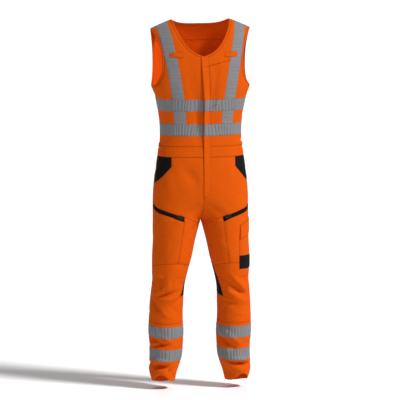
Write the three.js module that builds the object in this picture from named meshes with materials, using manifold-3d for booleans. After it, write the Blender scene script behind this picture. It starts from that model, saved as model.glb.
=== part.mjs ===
// Hi-vis bib overalls, worn on a general standing figure and held up at the shoulders.
// Millimetres, +Z up. The wearer faces -Y and the wearer's left is +X. The origin lies midway
// between the two shoulders, at the height where the neckline meets the shoulder seams.
import * as THREE from 'three';
import Module from 'manifold-3d';
import { mergeVertices } from 'three/addons/utils/BufferGeometryUtils.js';

const wasm = await Module();
wasm.setup();

// ---- driving dimensions ------------------------------------------------------------------
const cloth = 1.2;          // wall of every cloth panel
const trim = 1.1;           // wall of tapes, tabs and pockets laid on a panel
const seamGap = 0.3;        // between neighbouring pieces
const edge = seamGap / 2;   // how far each piece stays back from its seam line
const tapeWidth = 50;       // reflective tape
const bandWidth = 9;        // neck and armhole edge bands

const armpit = { x: 207, z: -277 };
const shoulderTip = { x: 211, z: -38 };
const neckPoint = { x: 121, z: 0 };
const frontNeckDrop = 146;
const frontNeckV = 40;      // how much of the front drop is a plain V
const backNeckDrop = 22;
const armholeNarrow = { front: { x: 172, z: -165 }, back: { x: 196, z: -185 } };
const crotch = -840;
const rise = 165;           // height over which the trunk turns into two legs
const forkFlat = 30;        // how much the inner thighs open in a V where the legs meet
const forkFlatEnd = -1000;
const hem = -1526;
const hemArch = { high: 29, turn: 55, spread: 17 };   // cut up in front
const hemDip = { low: 13, turn: 135, spread: 30 };    // and hanging lower behind

const backYokeSeam = -94;
const upperHoopTop = -327;
const lowerHoopTop = -431;
const waistTop = -526;
const waistBottom = -571;
const kneeSeam = { front: -1020, out: -1036, inner: -1046 };
const kneePocket = { bottom: -1267, sag: 13 };
const legTapeTops = { upper: -1285, lower: -1382 };
const legTapeTilt = 7;      // each leg tape hangs lower in front

// Half of the trunk at each height: half width, front and back depth from the widest line.
const widestY = -12;
const trunkRows = [
  { z: -277, half: 207, front: 112, back: 116, square: 2.35 },
  { z: -330, half: 189, front: 110, back: 108, square: 2.35 },
  { z: -400, half: 176, front: 103, back: 96, square: 2.35 },
  { z: -468, half: 170, front: 98, back: 88, square: 2.35 },
  { z: -536, half: 176, front: 100, back: 96, square: 2.3 },
  { z: -603, half: 186, front: 104, back: 114, square: 2.3 },
  { z: -671, half: 195, front: 107, back: 128, square: 2.25 },
  { z: -740, half: 200, front: 107, back: 132, square: 2.2 },
  { z: -800, half: 201, front: 102, back: 126, square: 2.2 },
  { z: -855, half: 201, front: 96, back: 118, square: 2.2 },
];
// Each leg at each height: centre and half size, sideways (x) and fore and aft (y).
const legRows = [
  { z: -640, x: 100, half: 100, y: -12, depth: 102 },
  { z: -840, x: 100.5, half: 100.5, y: -12, depth: 99.5 },
  { z: -865, x: 104, half: 97.5, y: -12.5, depth: 98 },
  { z: -890, x: 107.5, half: 94, y: -13, depth: 96 },
  { z: -925, x: 112, half: 89, y: -14, depth: 93 },
  { z: -993, x: 121.5, half: 83, y: -15, depth: 87 },
  { z: -1060, x: 130.5, half: 74, y: -13, depth: 80 },
  { z: -1094, x: 134, half: 69, y: -11, depth: 76 },
  { z: -1128, x: 138.5, half: 68, y: -8, depth: 75 },
  { z: -1196, x: 143, half: 69.5, y: 0, depth: 75 },
  { z: -1247, x: 145, half: 70, y: 4, depth: 76 },
  { z: -1315, x: 144, half: 72.5, y: 8, depth: 77 },
  { z: -1365, x: 143, half: 70, y: 10, depth: 74 },
  { z: -1416, x: 144.5, half: 67, y: 10, depth: 71 },
  { z: -1450, x: 150, half: 64, y: 9, depth: 69 },
  { z: -1484, x: 156, half: 58, y: 8, depth: 67 },
  { z: -1528, x: 155, half: 46, y: 8, depth: 60 },
  { z: -1541, x: 155, half: 43, y: 8, depth: 58 },
];
// The largest folds: place (turn in degrees, height), half length, half width, depth (a minus
// sign is a hollow) and lean from level. Side 1 is the wearer's left leg, -1 the right.
const folds = [
  { side: -1, turn: 41, z: -1146, long: 32, wide: 14, deep: -8, lean: 18 },
  { side: -1, turn: 57, z: -1162, long: 26, wide: 13, deep: -6, lean: 50 },
  { side: -1, turn: 45, z: -1122, long: 34, wide: 16, deep: 6, lean: 8 },
  { side: -1, turn: 50, z: -1180, long: 36, wide: 14, deep: 4, lean: 6 },
  { side: -1, turn: 60, z: -1368, long: 30, wide: 12, deep: -7, lean: -30 },
  { side: -1, turn: 38, z: -1376, long: 36, wide: 12, deep: -6, lean: 12 },
  { side: -1, turn: 54, z: -1456, long: 34, wide: 13, deep: -11, lean: 3 },
  { side: -1, turn: 50, z: -1436, long: 40, wide: 12, deep: 5, lean: 2 },
  { side: -1, turn: 138, z: -1140, long: 48, wide: 14, deep: -7, lean: -8 },
  { side: -1, turn: 130, z: -1440, long: 40, wide: 13, deep: -8, lean: 10 },
  { side: 1, turn: 50, z: -1112, long: 34, wide: 14, deep: 6, lean: -48 },
  { side: 1, turn: 60, z: -1132, long: 36, wide: 13, deep: -8, lean: -50 },
  { side: 1, turn: 42, z: -1164, long: 32, wide: 13, deep: -7, lean: -36 },
  { side: 1, turn: 40, z: -1364, long: 34, wide: 12, deep: -8, lean: -34 },
  { side: 1, turn: 58, z: -1455, long: 32, wide: 13, deep: -11, lean: -6 },
  { side: 1, turn: 54, z: -1436, long: 38, wide: 12, deep: 5, lean: -5 },
  { side: 1, turn: 134, z: -1146, long: 46, wide: 14, deep: -7, lean: 10 },
  { side: 1, turn: 140, z: -1436, long: 42, wide: 13, deep: -8, lean: -12 },
];

const colours = { orange: 0xff5a0a, black: 0x17171a, grey: 0x9a9da0, metal: 0x2b2b2e };
const orange = new THREE.MeshStandardMaterial({ color: colours.orange, roughness: 0.85, metalness: 0 });
const black = new THREE.MeshStandardMaterial({ color: colours.black, roughness: 0.9, metalness: 0 });
const grey = new THREE.MeshStandardMaterial({ color: colours.grey, roughness: 0.45, metalness: 0.2 });
const metal = new THREE.MeshStandardMaterial({ color: colours.metal, roughness: 0.4, metalness: 0.6 });

// ---- the worn form -----------------------------------------------------------------------
const radians = THREE.MathUtils.degToRad;

// A smooth curve through one column of a table, read at a height.
function column(rows, key, z) {
  const last = rows.length - 1;
  let i = rows.findIndex((row) => row.z <= z) - 1;
  if (z <= rows[last].z) i = last - 1;
  i = Math.max(0, i);
  const [a, b] = [rows[i], rows[i + 1]];
  const [before, after] = [rows[Math.max(0, i - 1)], rows[Math.min(last, i + 2)]];
  const span = b.z - a.z;
  const t = THREE.MathUtils.clamp((z - a.z) / span, 0, 1);
  const slopeA = ((b[key] - before[key]) / (b.z - before.z)) * span;
  const slopeB = ((after[key] - a[key]) / (after.z - a.z)) * span;
  return (2 * t ** 3 - 3 * t ** 2 + 1) * a[key] + (t ** 3 - 2 * t ** 2 + t) * slopeA
    + (3 * t ** 2 - 2 * t ** 3) * b[key] + (t ** 3 - t ** 2) * slopeB;
}

const signedPower = (value, power) => Math.sign(value) * Math.abs(value) ** power;

// The half loop of the trunk: turn 0 is the centre front, 90 the side and 180 the centre back.
function trunkPoint(turn, z) {
  const power = 2 / column(trunkRows, 'square', z);
  const depth = column(trunkRows, turn < 90 ? 'front' : 'back', z);
  const x = column(trunkRows, 'half', z) * Math.sin(radians(turn)) ** power;
  return new THREE.Vector3(x, widestY - depth * signedPower(Math.cos(radians(turn)), power), z);
}

// The closed loop of a leg: turn 0 and 180 are the inseam, 45 the front and 135 the back.
function legPoint(turn, z) {
  const half = column(legRows, 'half', z);
  const x = z < crotch ? column(legRows, 'x', z) : half;
  const [y, depth] = [column(legRows, 'y', z), column(legRows, 'depth', z)];
  const around = radians(2 * turn);
  const aside = Math.abs(Math.sin(around));
  const nearFork = THREE.MathUtils.clamp((z - forkFlatEnd) / (crotch - forkFlatEnd), 0, 1);
  const flat = Math.cos(around) > 0 ? forkFlat * nearFork : 0;
  return new THREE.Vector3(
    x - half * Math.cos(around) + flat * aside * (1 - aside), y - depth * Math.sin(around), z,
  );
}

// Above the armpits the front and back lean in and meet over the shoulder ridge.
const [neckSettle, shoulderSpread, round] = [4, 0.03, 2.05];
function ridge(x) {
  const out = (x - neckPoint.x) / (shoulderTip.x - neckPoint.x);
  return out > 0 ? shoulderTip.z * out : -neckSettle * out;
}
function shoulderPoint(turn, up) {
  const at = trunkPoint(turn, armpit.z);
  const x = at.x * (1 + shoulderSpread * up);
  const lean = (1 - up ** round) ** (1 / round);
  return new THREE.Vector3(x, at.y * lean, armpit.z + up * (ridge(x) - armpit.z));
}

const turnLength = 2.6;     // cloth in one degree of turn, as the folds count it
function foldDepth(side, turn, z) {
  let sum = 0;
  for (const fold of folds) {
    if (fold.side !== side) continue;
    const across = (turn - fold.turn) * turnLength;
    const lean = radians(fold.lean);
    const run = across * Math.cos(lean) + (z - fold.z) * Math.sin(lean);
    const off = (z - fold.z) * Math.cos(lean) - across * Math.sin(lean);
    sum += fold.deep * Math.exp(-((run / fold.long) ** 2) - (off / fold.wide) ** 2);
  }
  return sum;
}

// A point of the inner face. Levels over 0 run up to 1 at the shoulder ridge; others are heights.
function bodyPoint(side, turn, level) {
  let point;
  if (level > 0) {
    point = shoulderPoint(turn, level);
  } else if (level >= crotch) {
    const fallen = Math.max(0, (crotch + rise - level) / rise);
    const share = 1 - Math.sqrt(1 - Math.min(1, fallen) ** 2);
    point = trunkPoint(turn, level).lerp(legPoint(turn, level), share);
  } else {
    point = legPoint(turn, level);
    const centre = new THREE.Vector3(column(legRows, 'x', level), column(legRows, 'y', level), level);
    const out = point.clone().sub(centre).normalize();
    point.addScaledVector(out, foldDepth(side, turn, level));
  }
  point.x *= side;
  return point;
}

// ---- one shared grid of facets, from which every cloth piece is cut ------------------------
const turnStep = 11.25;
const turns = Array.from({ length: 180 / turnStep + 1 }, (_, i) => i * turnStep);
const levels = [
  1, 0.97, 0.88, 0.74, 0.56, 0.37, 0.18,
  armpit.z, -302, -327, -377, -431, -481, -526, -571, -611, -650, -690, -732, -768, -796, -812, -823, crotch,
  -865, -890, -925, -970, -1020, -1050, -1080, -1106, -1132, -1156, -1190, -1230, -1275, -1310, -1335,
  -1358, -1382, -1432, -1456, -1480, -1504, -1523, hem - hemDip.low,
];
const weldStep = 1e-3;
const weldReach = 0.14;     // cut corners nearer than this become one
const keyOf = (point) => [point.x, point.y, point.z].map((c) => Math.round(c / weldStep)).join(',');

function gridOf(side) {
  const rows = levels.map((level) => turns.map((turn) => (
    { side, turn, point: bodyPoint(side, turn, level) }
  )));
  const apart = (a, b) => a.point.distanceTo(b.point);
  for (const row of rows) {
    const girth = [0];
    for (let i = 1; i < row.length; i += 1) girth.push(girth[i - 1] + apart(row[i - 1], row[i]));
    const atSide = girth[turns.indexOf(90)];
    row.forEach((vertex, i) => {
      vertex.fromFront = girth[i];
      vertex.fromBack = girth[girth.length - 1] - girth[i];
      vertex.fromSide = atSide - girth[i];
    });
  }
  turns.forEach((_, i) => {
    rows[0][i].drop = 0;
    for (let j = 1; j < rows.length; j += 1) {
      rows[j][i].drop = rows[j - 1][i].drop + apart(rows[j - 1][i], rows[j][i]);
    }
  });
  const facets = [];
  for (let j = 1; j < rows.length; j += 1) {
    for (let i = 1; i < turns.length; i += 1) {
      const [a, b, c, d] = [rows[j - 1][i - 1], rows[j - 1][i], rows[j][i], rows[j][i - 1]];
      const split = (i + j) % 2 ? [[a, d, b], [b, d, c]] : [[a, d, c], [a, c, b]];
      for (const facet of split) facets.push(side > 0 ? facet : facet.reverse());
    }
  }
  return facets;
}

const facets = [...gridOf(1), ...gridOf(-1)];
const normals = new Map();
for (const facet of facets) {
  const [a, b, c] = facet.map((vertex) => vertex.point);
  const face = b.clone().sub(a).cross(c.clone().sub(a));
  for (const vertex of facet) {
    const key = keyOf(vertex.point);
    if (!normals.has(key)) normals.set(key, new THREE.Vector3());
    normals.get(key).add(face);
  }
}
// In a hollow corner a point moves out further, so that the wall beside it keeps its thickness.
const steepest = new Map();
for (const facet of facets) {
  const [a, b, c] = facet.map((vertex) => vertex.point);
  const face = b.clone().sub(a).cross(c.clone().sub(a)).normalize();
  for (const vertex of facet) {
    const key = keyOf(vertex.point);
    vertex.normal = normals.get(key).clone().normalize();
    steepest.set(key, Math.min(steepest.get(key) ?? 1, face.dot(vertex.normal)));
  }
}
const longestMiter = 3;
for (const vertex of new Set(facets.flat())) {
  vertex.normal.multiplyScalar(Math.min(longestMiter, 1 / Math.max(steepest.get(keyOf(vertex.point)), 0.1)));
}

// ---- cutting pieces from the grid ---------------------------------------------------------
// Each rule is a distance that is above 0 inside a piece. It is read at the facets' own corners
// and runs straight between them, so that neighbours which share a rule have parallel edges.
function between(a, b, t) {
  return {
    point: a.point.clone().lerp(b.point, t),
    normal: a.normal.clone().lerp(b.normal, t),
    within: a.within.map((value, i) => value + (b.within[i] - value) * t),
  };
}
function cutOnce(polygon, rule) {
  const kept = [];
  polygon.forEach((a, i) => {
    const b = polygon[(i + 1) % polygon.length];
    const [atA, atB] = [a.within[rule], b.within[rule]];
    if (atA > 0) kept.push(a);
    if (atA > 0 && atB <= 0) kept.push(between(a, b, atA / (atA - atB)));
    if (atA <= 0 && atB > 0) kept.push(between(b, a, atB / (atB - atA)));
  });
  return kept;
}
function cutFacet(facet, rules) {
  const corners = facet.map((v) => ({ point: v.point, normal: v.normal, within: rules.map((rule) => rule(v)) }));
  return rules.reduce((polygon, _, i) => (polygon.length > 2 ? cutOnce(polygon, i) : []), corners);
}

// Closes a sheet of polygons into a wall from one height above the form's face to another.
function wallOf(polygons, low, high) {
  const index = new Map();
  const sheet = [];
  const triangles = [];
  const idOf = (vertex) => {
    const key = keyOf(vertex.point);
    if (!index.has(key)) {
      const near = sheet.findIndex((other) => other.point.distanceTo(vertex.point) < weldReach);
      index.set(key, near < 0 ? sheet.length : near);
      if (near < 0) sheet.push(vertex);
    }
    return index.get(key);
  };
  for (const polygon of polygons) {
    const ids = polygon.map(idOf).filter((id, i, all) => id !== all[(i + 1) % all.length]);
    for (let i = 2; i < ids.length; i += 1) {
      const triangle = [ids[0], ids[i - 1], ids[i]];
      if (new Set(triangle).size === 3) triangles.push(triangle);
    }
  }
  const open = new Set();
  for (const [a, b, c] of triangles) {
    for (const [from, to] of [[a, b], [b, c], [c, a]]) {
      if (!open.delete(`${to},${from}`)) open.add(`${from},${to}`);
    }
  }
  const positions = [low, high].flatMap((height) => sheet.flatMap((vertex) => (
    vertex.point.clone().addScaledVector(vertex.normal, height).toArray()
  )));
  const outer = sheet.length;
  const faces = [];
  for (const [a, b, c] of triangles) faces.push(a, c, b, a + outer, b + outer, c + outer);
  for (const pair of open) {
    const [from, to] = pair.split(',').map(Number);
    faces.push(from, to, to + outer, from, to + outer, from + outer);
  }
  const geometry = new THREE.BufferGeometry();
  geometry.setAttribute('position', new THREE.Float32BufferAttribute(positions, 3));
  geometry.setIndex(faces);
  return geometry;
}

const overalls = new THREE.Group();
overalls.name = 'bib_overalls';

// layer 0 is the garment's own wall, 1 lies on it and 2 lies on what layer 1 holds.
const layerStep = trim + seamGap;
function piece(name, material, layer, sides, rules) {
  const polygons = [];
  for (const facet of facets) {
    if (!sides.includes(facet[0].side)) continue;
    const cut = cutFacet(facet, rules);
    if (cut.length > 2) polygons.push(cut);
  }
  const first = layer > 0 ? cloth + seamGap - layerStep : 0;
  const low = first + layer * layerStep;
  const high = low + (layer === 0 ? cloth : trim);
  const mesh = new THREE.Mesh(wallOf(polygons, low, high), material);
  mesh.name = name;
  overalls.add(mesh);
  return mesh;
}

// ---- seam lines, as distances in millimetres -----------------------------------------------
const across = (vertex) => Math.abs(vertex.point.x);
const at = (line, v) => (typeof line === 'function' ? line(v) : line);
const above = (line) => (v) => v.point.z - at(line, v) - edge;
const below = (line) => (v) => at(line, v) - v.point.z - edge;
const outside = (line) => (v) => across(v) - at(line, v) - edge;
const inside = (line) => (v) => at(line, v) - across(v) - edge;
const frontHalf = (v) => v.fromSide - edge;
const backHalf = (v) => -v.fromSide - edge;
const offCentreFront = (v) => (v.point.z > crotch ? across(v) : v.fromFront) - edge;
const offCentreBack = (v) => (v.point.z > crotch ? across(v) : v.fromBack) - edge;
const offRidge = (v) => v.drop - edge;

const inFront = (v) => v.fromSide > 0 || v.drop === 0;
function armholeGap(v) {
  const narrow = inFront(v) ? armholeNarrow.front : armholeNarrow.back;
  const up = Math.max(0, (v.point.z - narrow.z) / (shoulderTip.z - narrow.z));
  const down = Math.max(0, (narrow.z - v.point.z) / (narrow.z - armpit.z));
  return narrow.x + (shoulderTip.x - narrow.x) * up ** 2 + (armpit.x - narrow.x) * down ** 3 - across(v);
}
function neckGap(v) {
  const [plain, round, power] = inFront(v) ? [frontNeckV, frontNeckDrop - frontNeckV, 3] : [0, backNeckDrop, 4];
  const share = across(v) / neckPoint.x;
  const slope = (plain + round * power * share ** (power - 1)) / neckPoint.x;
  const level = -plain * (1 - share) - round * (1 - share ** power);
  return (level - v.point.z) / Math.hypot(1, slope);
}
const clearOfBands = [(v) => armholeGap(v) - bandWidth - edge, (v) => neckGap(v) - bandWidth - edge];

// Slanted chest seam, thigh zip line, thigh seam and the others that aren't level.
const chest = { centre: -192, rise: 27, over: 110 };
const chestSeam = (v) => chest.centre + chest.rise * (across(v) / chest.over);
const zip = { inner: 83, outer: 205, low: -832.5, climb: 40, upturn: 26, curve: 20, forkEnd: crotch - 24 };
const zipTape = { width: 16, flare: 2.5, tuck: 2.2, tuckTo: 104, tuckFade: 3 };
const zipOut = (v) => Math.max(0, (across(v) - zip.inner) / (zip.outer - zip.inner));
const zipLine = (v) => zip.low + zip.climb * zipOut(v) + zip.upturn * zipOut(v) ** zip.curve;
const zipHalf = (v) => (
  (zipTape.width + zipTape.flare * zipOut(v)) / 2
  + zipTape.tuck * THREE.MathUtils.clamp((zipTape.tuckTo - across(v)) / zipTape.tuckFade, 0, 1)
);
const zipTop = (v) => zipLine(v) + zipHalf(v);
const zipBottom = (v) => zipLine(v) - zipHalf(v);
const hipLine = (v) => {
  const toCrotch = Math.max(0, (zip.inner - across(v)) / zip.inner);
  return zipTop(v) + (zip.forkEnd - zipTop(v)) * toCrotch;
};
const thigh = { top: -838, length: 172, inner: 83, spread: 24 };
const thighSeam = (v) => thigh.inner + thigh.spread * ((thigh.top - v.point.z) / thigh.length);
const kneeLine = (v) => {
  const aside = (v.turn - 45) / 45;
  return kneeSeam.front + (aside > 0 ? kneeSeam.out - kneeSeam.front : kneeSeam.inner - kneeSeam.front) * aside ** 2;
};
const bell = (from, spread) => Math.exp(-((from / spread) ** 2));
const hemLine = (v) => hem + hemArch.high * bell(v.turn - hemArch.turn, hemArch.spread)
  - hemDip.low * bell(v.turn - hemDip.turn, hemDip.spread);
const pocketEdge = { x: 135, low: -611, sideLow: -684, spread: 62 };
const handPocketEdge = (v) => {
  const down = Math.max(0, (pocketEdge.low - v.point.z) / (pocketEdge.low - pocketEdge.sideLow));
  return pocketEdge.x + pocketEdge.spread * down;
};
const braceRun = { foot: 99, spread: 66, from: -430, height: 411, curve: 1.4 };
const braceLine = (v) => (
  braceRun.foot + braceRun.spread * Math.max(0, (v.point.z - braceRun.from) / braceRun.height) ** braceRun.curve
);
const placket = { width: 30, bottom: -742, inset: 1, free: -2, slantFrom: -350, slant: 0.055 };
const placketFree = (v) => placket.free - Math.max(0, v.point.z - placket.slantFrom) * placket.slant;
const placketStitched = (v) => placketFree(v) + placket.width;

const [left, right, both] = [[1], [-1], [1, -1]];
const sidesOf = [['left', left], ['right', right]];

// ---- vest ---------------------------------------------------------------------------------
const vestFront = [frontHalf, offRidge, offCentreFront, ...clearOfBands, above(waistTop)];
piece('front_right', orange, 0, right, vestFront);
piece('front_left_yoke', orange, 0, left, [...vestFront, above(chestSeam)]);
piece('front_left', orange, 0, left, [...vestFront, below(chestSeam)]);
piece('back_yoke', orange, 0, both, [backHalf, offRidge, ...clearOfBands, above(backYokeSeam)]);
piece('back_body', orange, 0, both, [backHalf, ...clearOfBands, above(waistTop), below(backYokeSeam)]);

const onBand = (gap) => [(v) => gap(v), (v) => bandWidth - gap(v)];
const bandReach = { neckLow: -200, armholeLow: -300, armholeHigh: -20, between: 150 };
const withinNeck = [...onBand(neckGap), above(bandReach.neckLow), offCentreFront, inside(bandReach.between)];
for (const [name, sides] of sidesOf) piece(`neck_band_${name}`, orange, 0, sides, withinNeck);
const withinArmhole = [
  ...onBand(armholeGap), outside(bandReach.between), above(bandReach.armholeLow), below(bandReach.armholeHigh),
];
for (const [name, sides] of sidesOf) piece(`armhole_band_${name}`, orange, 0, sides, withinArmhole);
const strip = { reach: 12, inset: 1 };
for (const [name, sides] of sidesOf) {
  piece(`shoulder_strip_${name}`, grey, 2, sides, [
    (v) => strip.reach - v.drop,
    (v) => neckGap(v) - strip.inset, (v) => armholeGap(v) - strip.inset,
  ]);
}

// The fly placket lies over both fronts, and the zip it covers lies behind them.
piece('placket', orange, 1, both, [
  frontHalf, (v) => placketStitched(v) - v.point.x, (v) => v.point.x - placketFree(v),
  above(placket.bottom), (v) => neckGap(v) - placket.inset,
]);
const frontZip = { half: 13, aboveFly: 12 };
piece('front_zip', black, -1, both, [
  frontHalf, (v) => frontZip.half - v.fromFront, above(placket.bottom + frontZip.aboveFly),
  (v) => neckGap(v) - bandWidth,
]);

// ---- reflective tapes and tabs on the vest --------------------------------------------------
const braceTuck = 4;        // how far each brace stops above the lower hoop's lower edge
const brace = [
  inside((v) => braceLine(v) + tapeWidth / 2), outside((v) => braceLine(v) - tapeWidth / 2),
  above(lowerHoopTop - tapeWidth + braceTuck),
];
const loop = { inner: 89, outer: 143, low: -151, high: -131 };
for (const [name, sides] of sidesOf) {
  piece(`brace_${name}`, grey, 1, sides, brace);
  piece(`chest_loop_${name}`, orange, 2, sides, [
    frontHalf, outside(loop.inner), inside(loop.outer), above(loop.low), below(loop.high),
  ]);
}
const pocket = { outer: 66, slant: 0.09, from: -186, cornerX: 54, cornerZ: -346, bottomSlant: 0.53 };
piece('chest_pocket', orange, 1, left, [
  frontHalf, (v) => v.point.x - placketStitched(v) - seamGap,
  inside((v) => pocket.outer + pocket.slant * (v.point.z - pocket.from)), below(chestSeam),
  above((v) => pocket.cornerZ - pocket.bottomSlant * (pocket.cornerX - across(v))),
]);
const hoopOf = (top) => [(v) => v.fromFront - edge, below(top), above(top - tapeWidth)];
piece('upper_hoop', grey, 2, both, hoopOf(upperHoopTop));
piece('lower_hoop', grey, 2, both, hoopOf(lowerHoopTop));

// ---- waistband, hips and seat -----------------------------------------------------------------
const waistband = [below(waistTop), above(waistBottom)];
piece('waistband_back', orange, 0, both, [backHalf, ...waistband]);

// The black stretch insert behind each knee runs round to a point on the inner side of the shin.
const insert = { top: -1018, bottom: -1156, slant: 6.9, bottomSlant: 0.4, taper: 1.2, taperFrom: 125 };
const insertDepth = (v) => {
  const forward = v.fromSide > 0 ? v.turn : 0;
  const outward = v.fromSide > 0 ? 0 : Math.max(0, insert.taperFrom - v.turn) * insert.taper;
  const top = insert.top - insert.slant * forward - outward;
  const bottom = insert.bottom - insert.bottomSlant * forward + outward;
  return Math.min(top - v.point.z, v.point.z - bottom);
};
const inInsert = (v) => insertDepth(v) - edge;
const offInsert = (v) => -insertDepth(v) - edge;
const kneeMiddle = (insert.top + insert.bottom) / 2;

const kneePocketLine = (v) => kneePocket.bottom - kneePocket.sag * Math.sin(2 * radians(v.turn));
for (const [name, sides] of sidesOf) {
  piece(`waistband_front_${name}`, orange, 0, sides, [frontHalf, offCentreFront, ...waistband]);
  piece(`hand_pocket_${name}`, black, 0, sides, [
    frontHalf, below(waistBottom), outside(handPocketEdge), above(pocketEdge.sideLow),
  ]);
  piece(`hip_front_${name}`, orange, 0, sides, [
    frontHalf, offCentreFront, below(waistBottom), inside(handPocketEdge), above(hipLine),
  ]);
  piece(`thigh_zip_${name}`, black, 0, sides, [frontHalf, outside(thighSeam), below(hipLine), above(zipBottom)]);
  piece(`thigh_inner_${name}`, orange, 0, sides, [
    frontHalf, offCentreFront, below(hipLine), inside(thighSeam), above(kneeLine), offInsert,
  ]);
  piece(`thigh_outer_${name}`, orange, 0, sides, [frontHalf, below(zipBottom), outside(thighSeam), above(kneeLine)]);
  piece(`knee_panel_${name}`, orange, 0, sides, [
    frontHalf, offCentreFront, below(kneeLine), above(kneePocketLine), offInsert,
  ]);
  piece(`knee_insert_${name}`, black, 0, sides, [inInsert]);
  piece(`shin_front_${name}`, orange, 0, sides, [frontHalf, offCentreFront, below(kneePocketLine), above(hemLine)]);
  piece(`seat_back_${name}`, orange, 0, sides, [
    backHalf, offCentreBack, below(waistBottom), above(kneeMiddle), offInsert,
  ]);
  piece(`calf_back_${name}`, orange, 0, sides, [backHalf, offCentreBack, below(kneeMiddle), above(hemLine), offInsert]);
  for (const [place, top] of Object.entries(legTapeTops)) {
    const upper = (v) => top - legTapeTilt * Math.sin(2 * radians(v.turn));
    piece(`leg_tape_${place}_${name}`, grey, 1, sides, [below(upper), above((v) => upper(v) - tapeWidth)]);
  }
}

// ---- cargo pocket on the wearer's left thigh -----------------------------------------------------
const cargo = { front: 60.5, slant: 0.036, back: 118, top: -872, bottom: -1047, patchTop: -990, turnWidth: 3.1 };
const flap = { top: -861, bottom: -920, rise: 0.9 };
const cargoFront = (v) => cargo.front + cargo.slant * (v.point.z - cargo.top);
const overCargo = [
  (v) => (v.turn - cargoFront(v)) * cargo.turnWidth, (v) => (cargo.back - v.turn) * cargo.turnWidth,
];
const flapRise = (v) => flap.rise * (v.turn - cargo.front);
piece('cargo_pocket', orange, 1, left, [
  ...overCargo, below((v) => cargo.top + flapRise(v)), above(cargo.bottom),
]);
piece('cargo_flap', orange, 2, left, [
  ...overCargo, below((v) => flap.top + flapRise(v)), above((v) => flap.bottom + flapRise(v)),
]);
piece('cargo_patch', black, 2, left, [...overCargo, below(cargo.patchTop), above(cargo.bottom)]);

// ---- zip sliders and their pull tabs ---------------------------------------------------------------
const slider = { x: 112, seat: 2.3, long: 13, wide: 9, high: 2.2, cheek: 1.3, cheekHigh: 3.2, cheekGap: 2.95 };
const tab = { long: 24, neck: 5, neckWide: 5.2, wide: 14, thick: 1.6, behind: 0.7, axisHigh: 3.9 };

// The place and outward direction on the facets of the front, straight in from (x, z).
function seatOn(side, x, z) {
  for (const facet of facets) {
    if (facet[0].side !== side || facet.some((v) => v.fromSide < 0)) continue;
    const flat = facet.map((v) => new THREE.Vector3(v.point.x * side, v.point.z, 0));
    const weights = new THREE.Vector3();
    new THREE.Triangle(...flat).getBarycoord(new THREE.Vector3(x, z, 0), weights);
    if (Math.min(...weights.toArray()) < 0) continue;
    const sum = (key) => facet.reduce((total, v, i) => (
      total.addScaledVector(v[key], weights.getComponent(i))
    ), new THREE.Vector3());
    return { point: sum('point'), normal: sum('normal').normalize() };
  }
  throw new Error('no facet there');
}
const onZip = (side, x) => seatOn(side, x, zipLine({ point: { x } }));

function joined(geometries) {
  const solids = geometries.map((geometry) => {
    geometry.deleteAttribute('normal');
    geometry.deleteAttribute('uv');
    const merged = mergeVertices(geometry);
    const mesh = new wasm.Mesh({
      numProp: 3, vertProperties: merged.attributes.position.array, triVerts: new Uint32Array(merged.index.array),
    });
    return new wasm.Manifold(mesh);
  });
  const whole = solids.reduce((sum, solid) => sum.add(solid)).getMesh();
  const geometry = new THREE.BufferGeometry();
  geometry.setAttribute('position', new THREE.BufferAttribute(whole.vertProperties, 3));
  geometry.setIndex(new THREE.BufferAttribute(whole.triVerts, 1));
  return geometry;
}
function sliderShape() {
  const body = new THREE.BoxGeometry(slider.long, slider.wide, slider.high).translate(0, 0, slider.high / 2);
  const cheeks = [1, -1].map((way) => new THREE.BoxGeometry(4, slider.cheek, slider.cheekHigh)
    .translate(0, way * (slider.cheekGap + slider.cheek / 2), slider.high + slider.cheekHigh / 2 - 0.2));
  return joined([body, ...cheeks]);
}
function tabShape() {
  const [neck, plate, round] = [tab.neckWide / 2, tab.wide / 2, 3];
  const outline = new THREE.Shape();
  outline.moveTo(-tab.behind, -neck);
  outline.lineTo(tab.neck, -neck);
  outline.lineTo(tab.neck, -plate);
  outline.lineTo(tab.long - round, -plate);
  outline.absarc(tab.long - round, -plate + round, round, -Math.PI / 2, 0);
  outline.absarc(tab.long - round, plate - round, round, 0, Math.PI / 2);
  outline.lineTo(tab.neck, plate);
  outline.lineTo(tab.neck, neck);
  outline.lineTo(-tab.behind, neck);
  return new THREE.ExtrudeGeometry(outline, { depth: tab.thick, bevelEnabled: false, curveSegments: 4 })
    .translate(0, 0, -tab.thick / 2);
}
for (const [name, sides] of sidesOf) {
  const { point, normal } = onZip(sides[0], slider.x);
  const along = onZip(sides[0], slider.x - 8).point.sub(onZip(sides[0], slider.x + 8).point).normalize();
  const aside = normal.clone().cross(along).normalize();
  const outward = along.clone().cross(aside);
  const hold = new THREE.Group();
  hold.setRotationFromMatrix(new THREE.Matrix4().makeBasis(along, aside, outward));
  hold.position.copy(point).addScaledVector(outward, cloth + slider.seat);
  const sliderMesh = new THREE.Mesh(sliderShape(), metal);
  sliderMesh.name = `zip_slider_${name}`;
  const tabMesh = new THREE.Mesh(tabShape(), metal);
  tabMesh.name = `pull_tab_${name}`;
  tabMesh.position.set(0, 0, tab.axisHigh);
  hold.add(sliderMesh, tabMesh);
  overalls.add(hold);
}

export default overalls;
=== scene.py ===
# %% [markdown]
# # Bib overalls
# A high-visibility work garment: a sleeveless vest with a fly front, sewn to work trousers.
# The solid model gives every sewn piece its place. Here each piece is made again as a thin, finely
# curved shell of cloth with its seams, stitches, creases and finish. This first cell loads the solid
# model, which is never moved.

# %% Load the frame
import bisect
import math
from types import SimpleNamespace as Sizes

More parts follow.
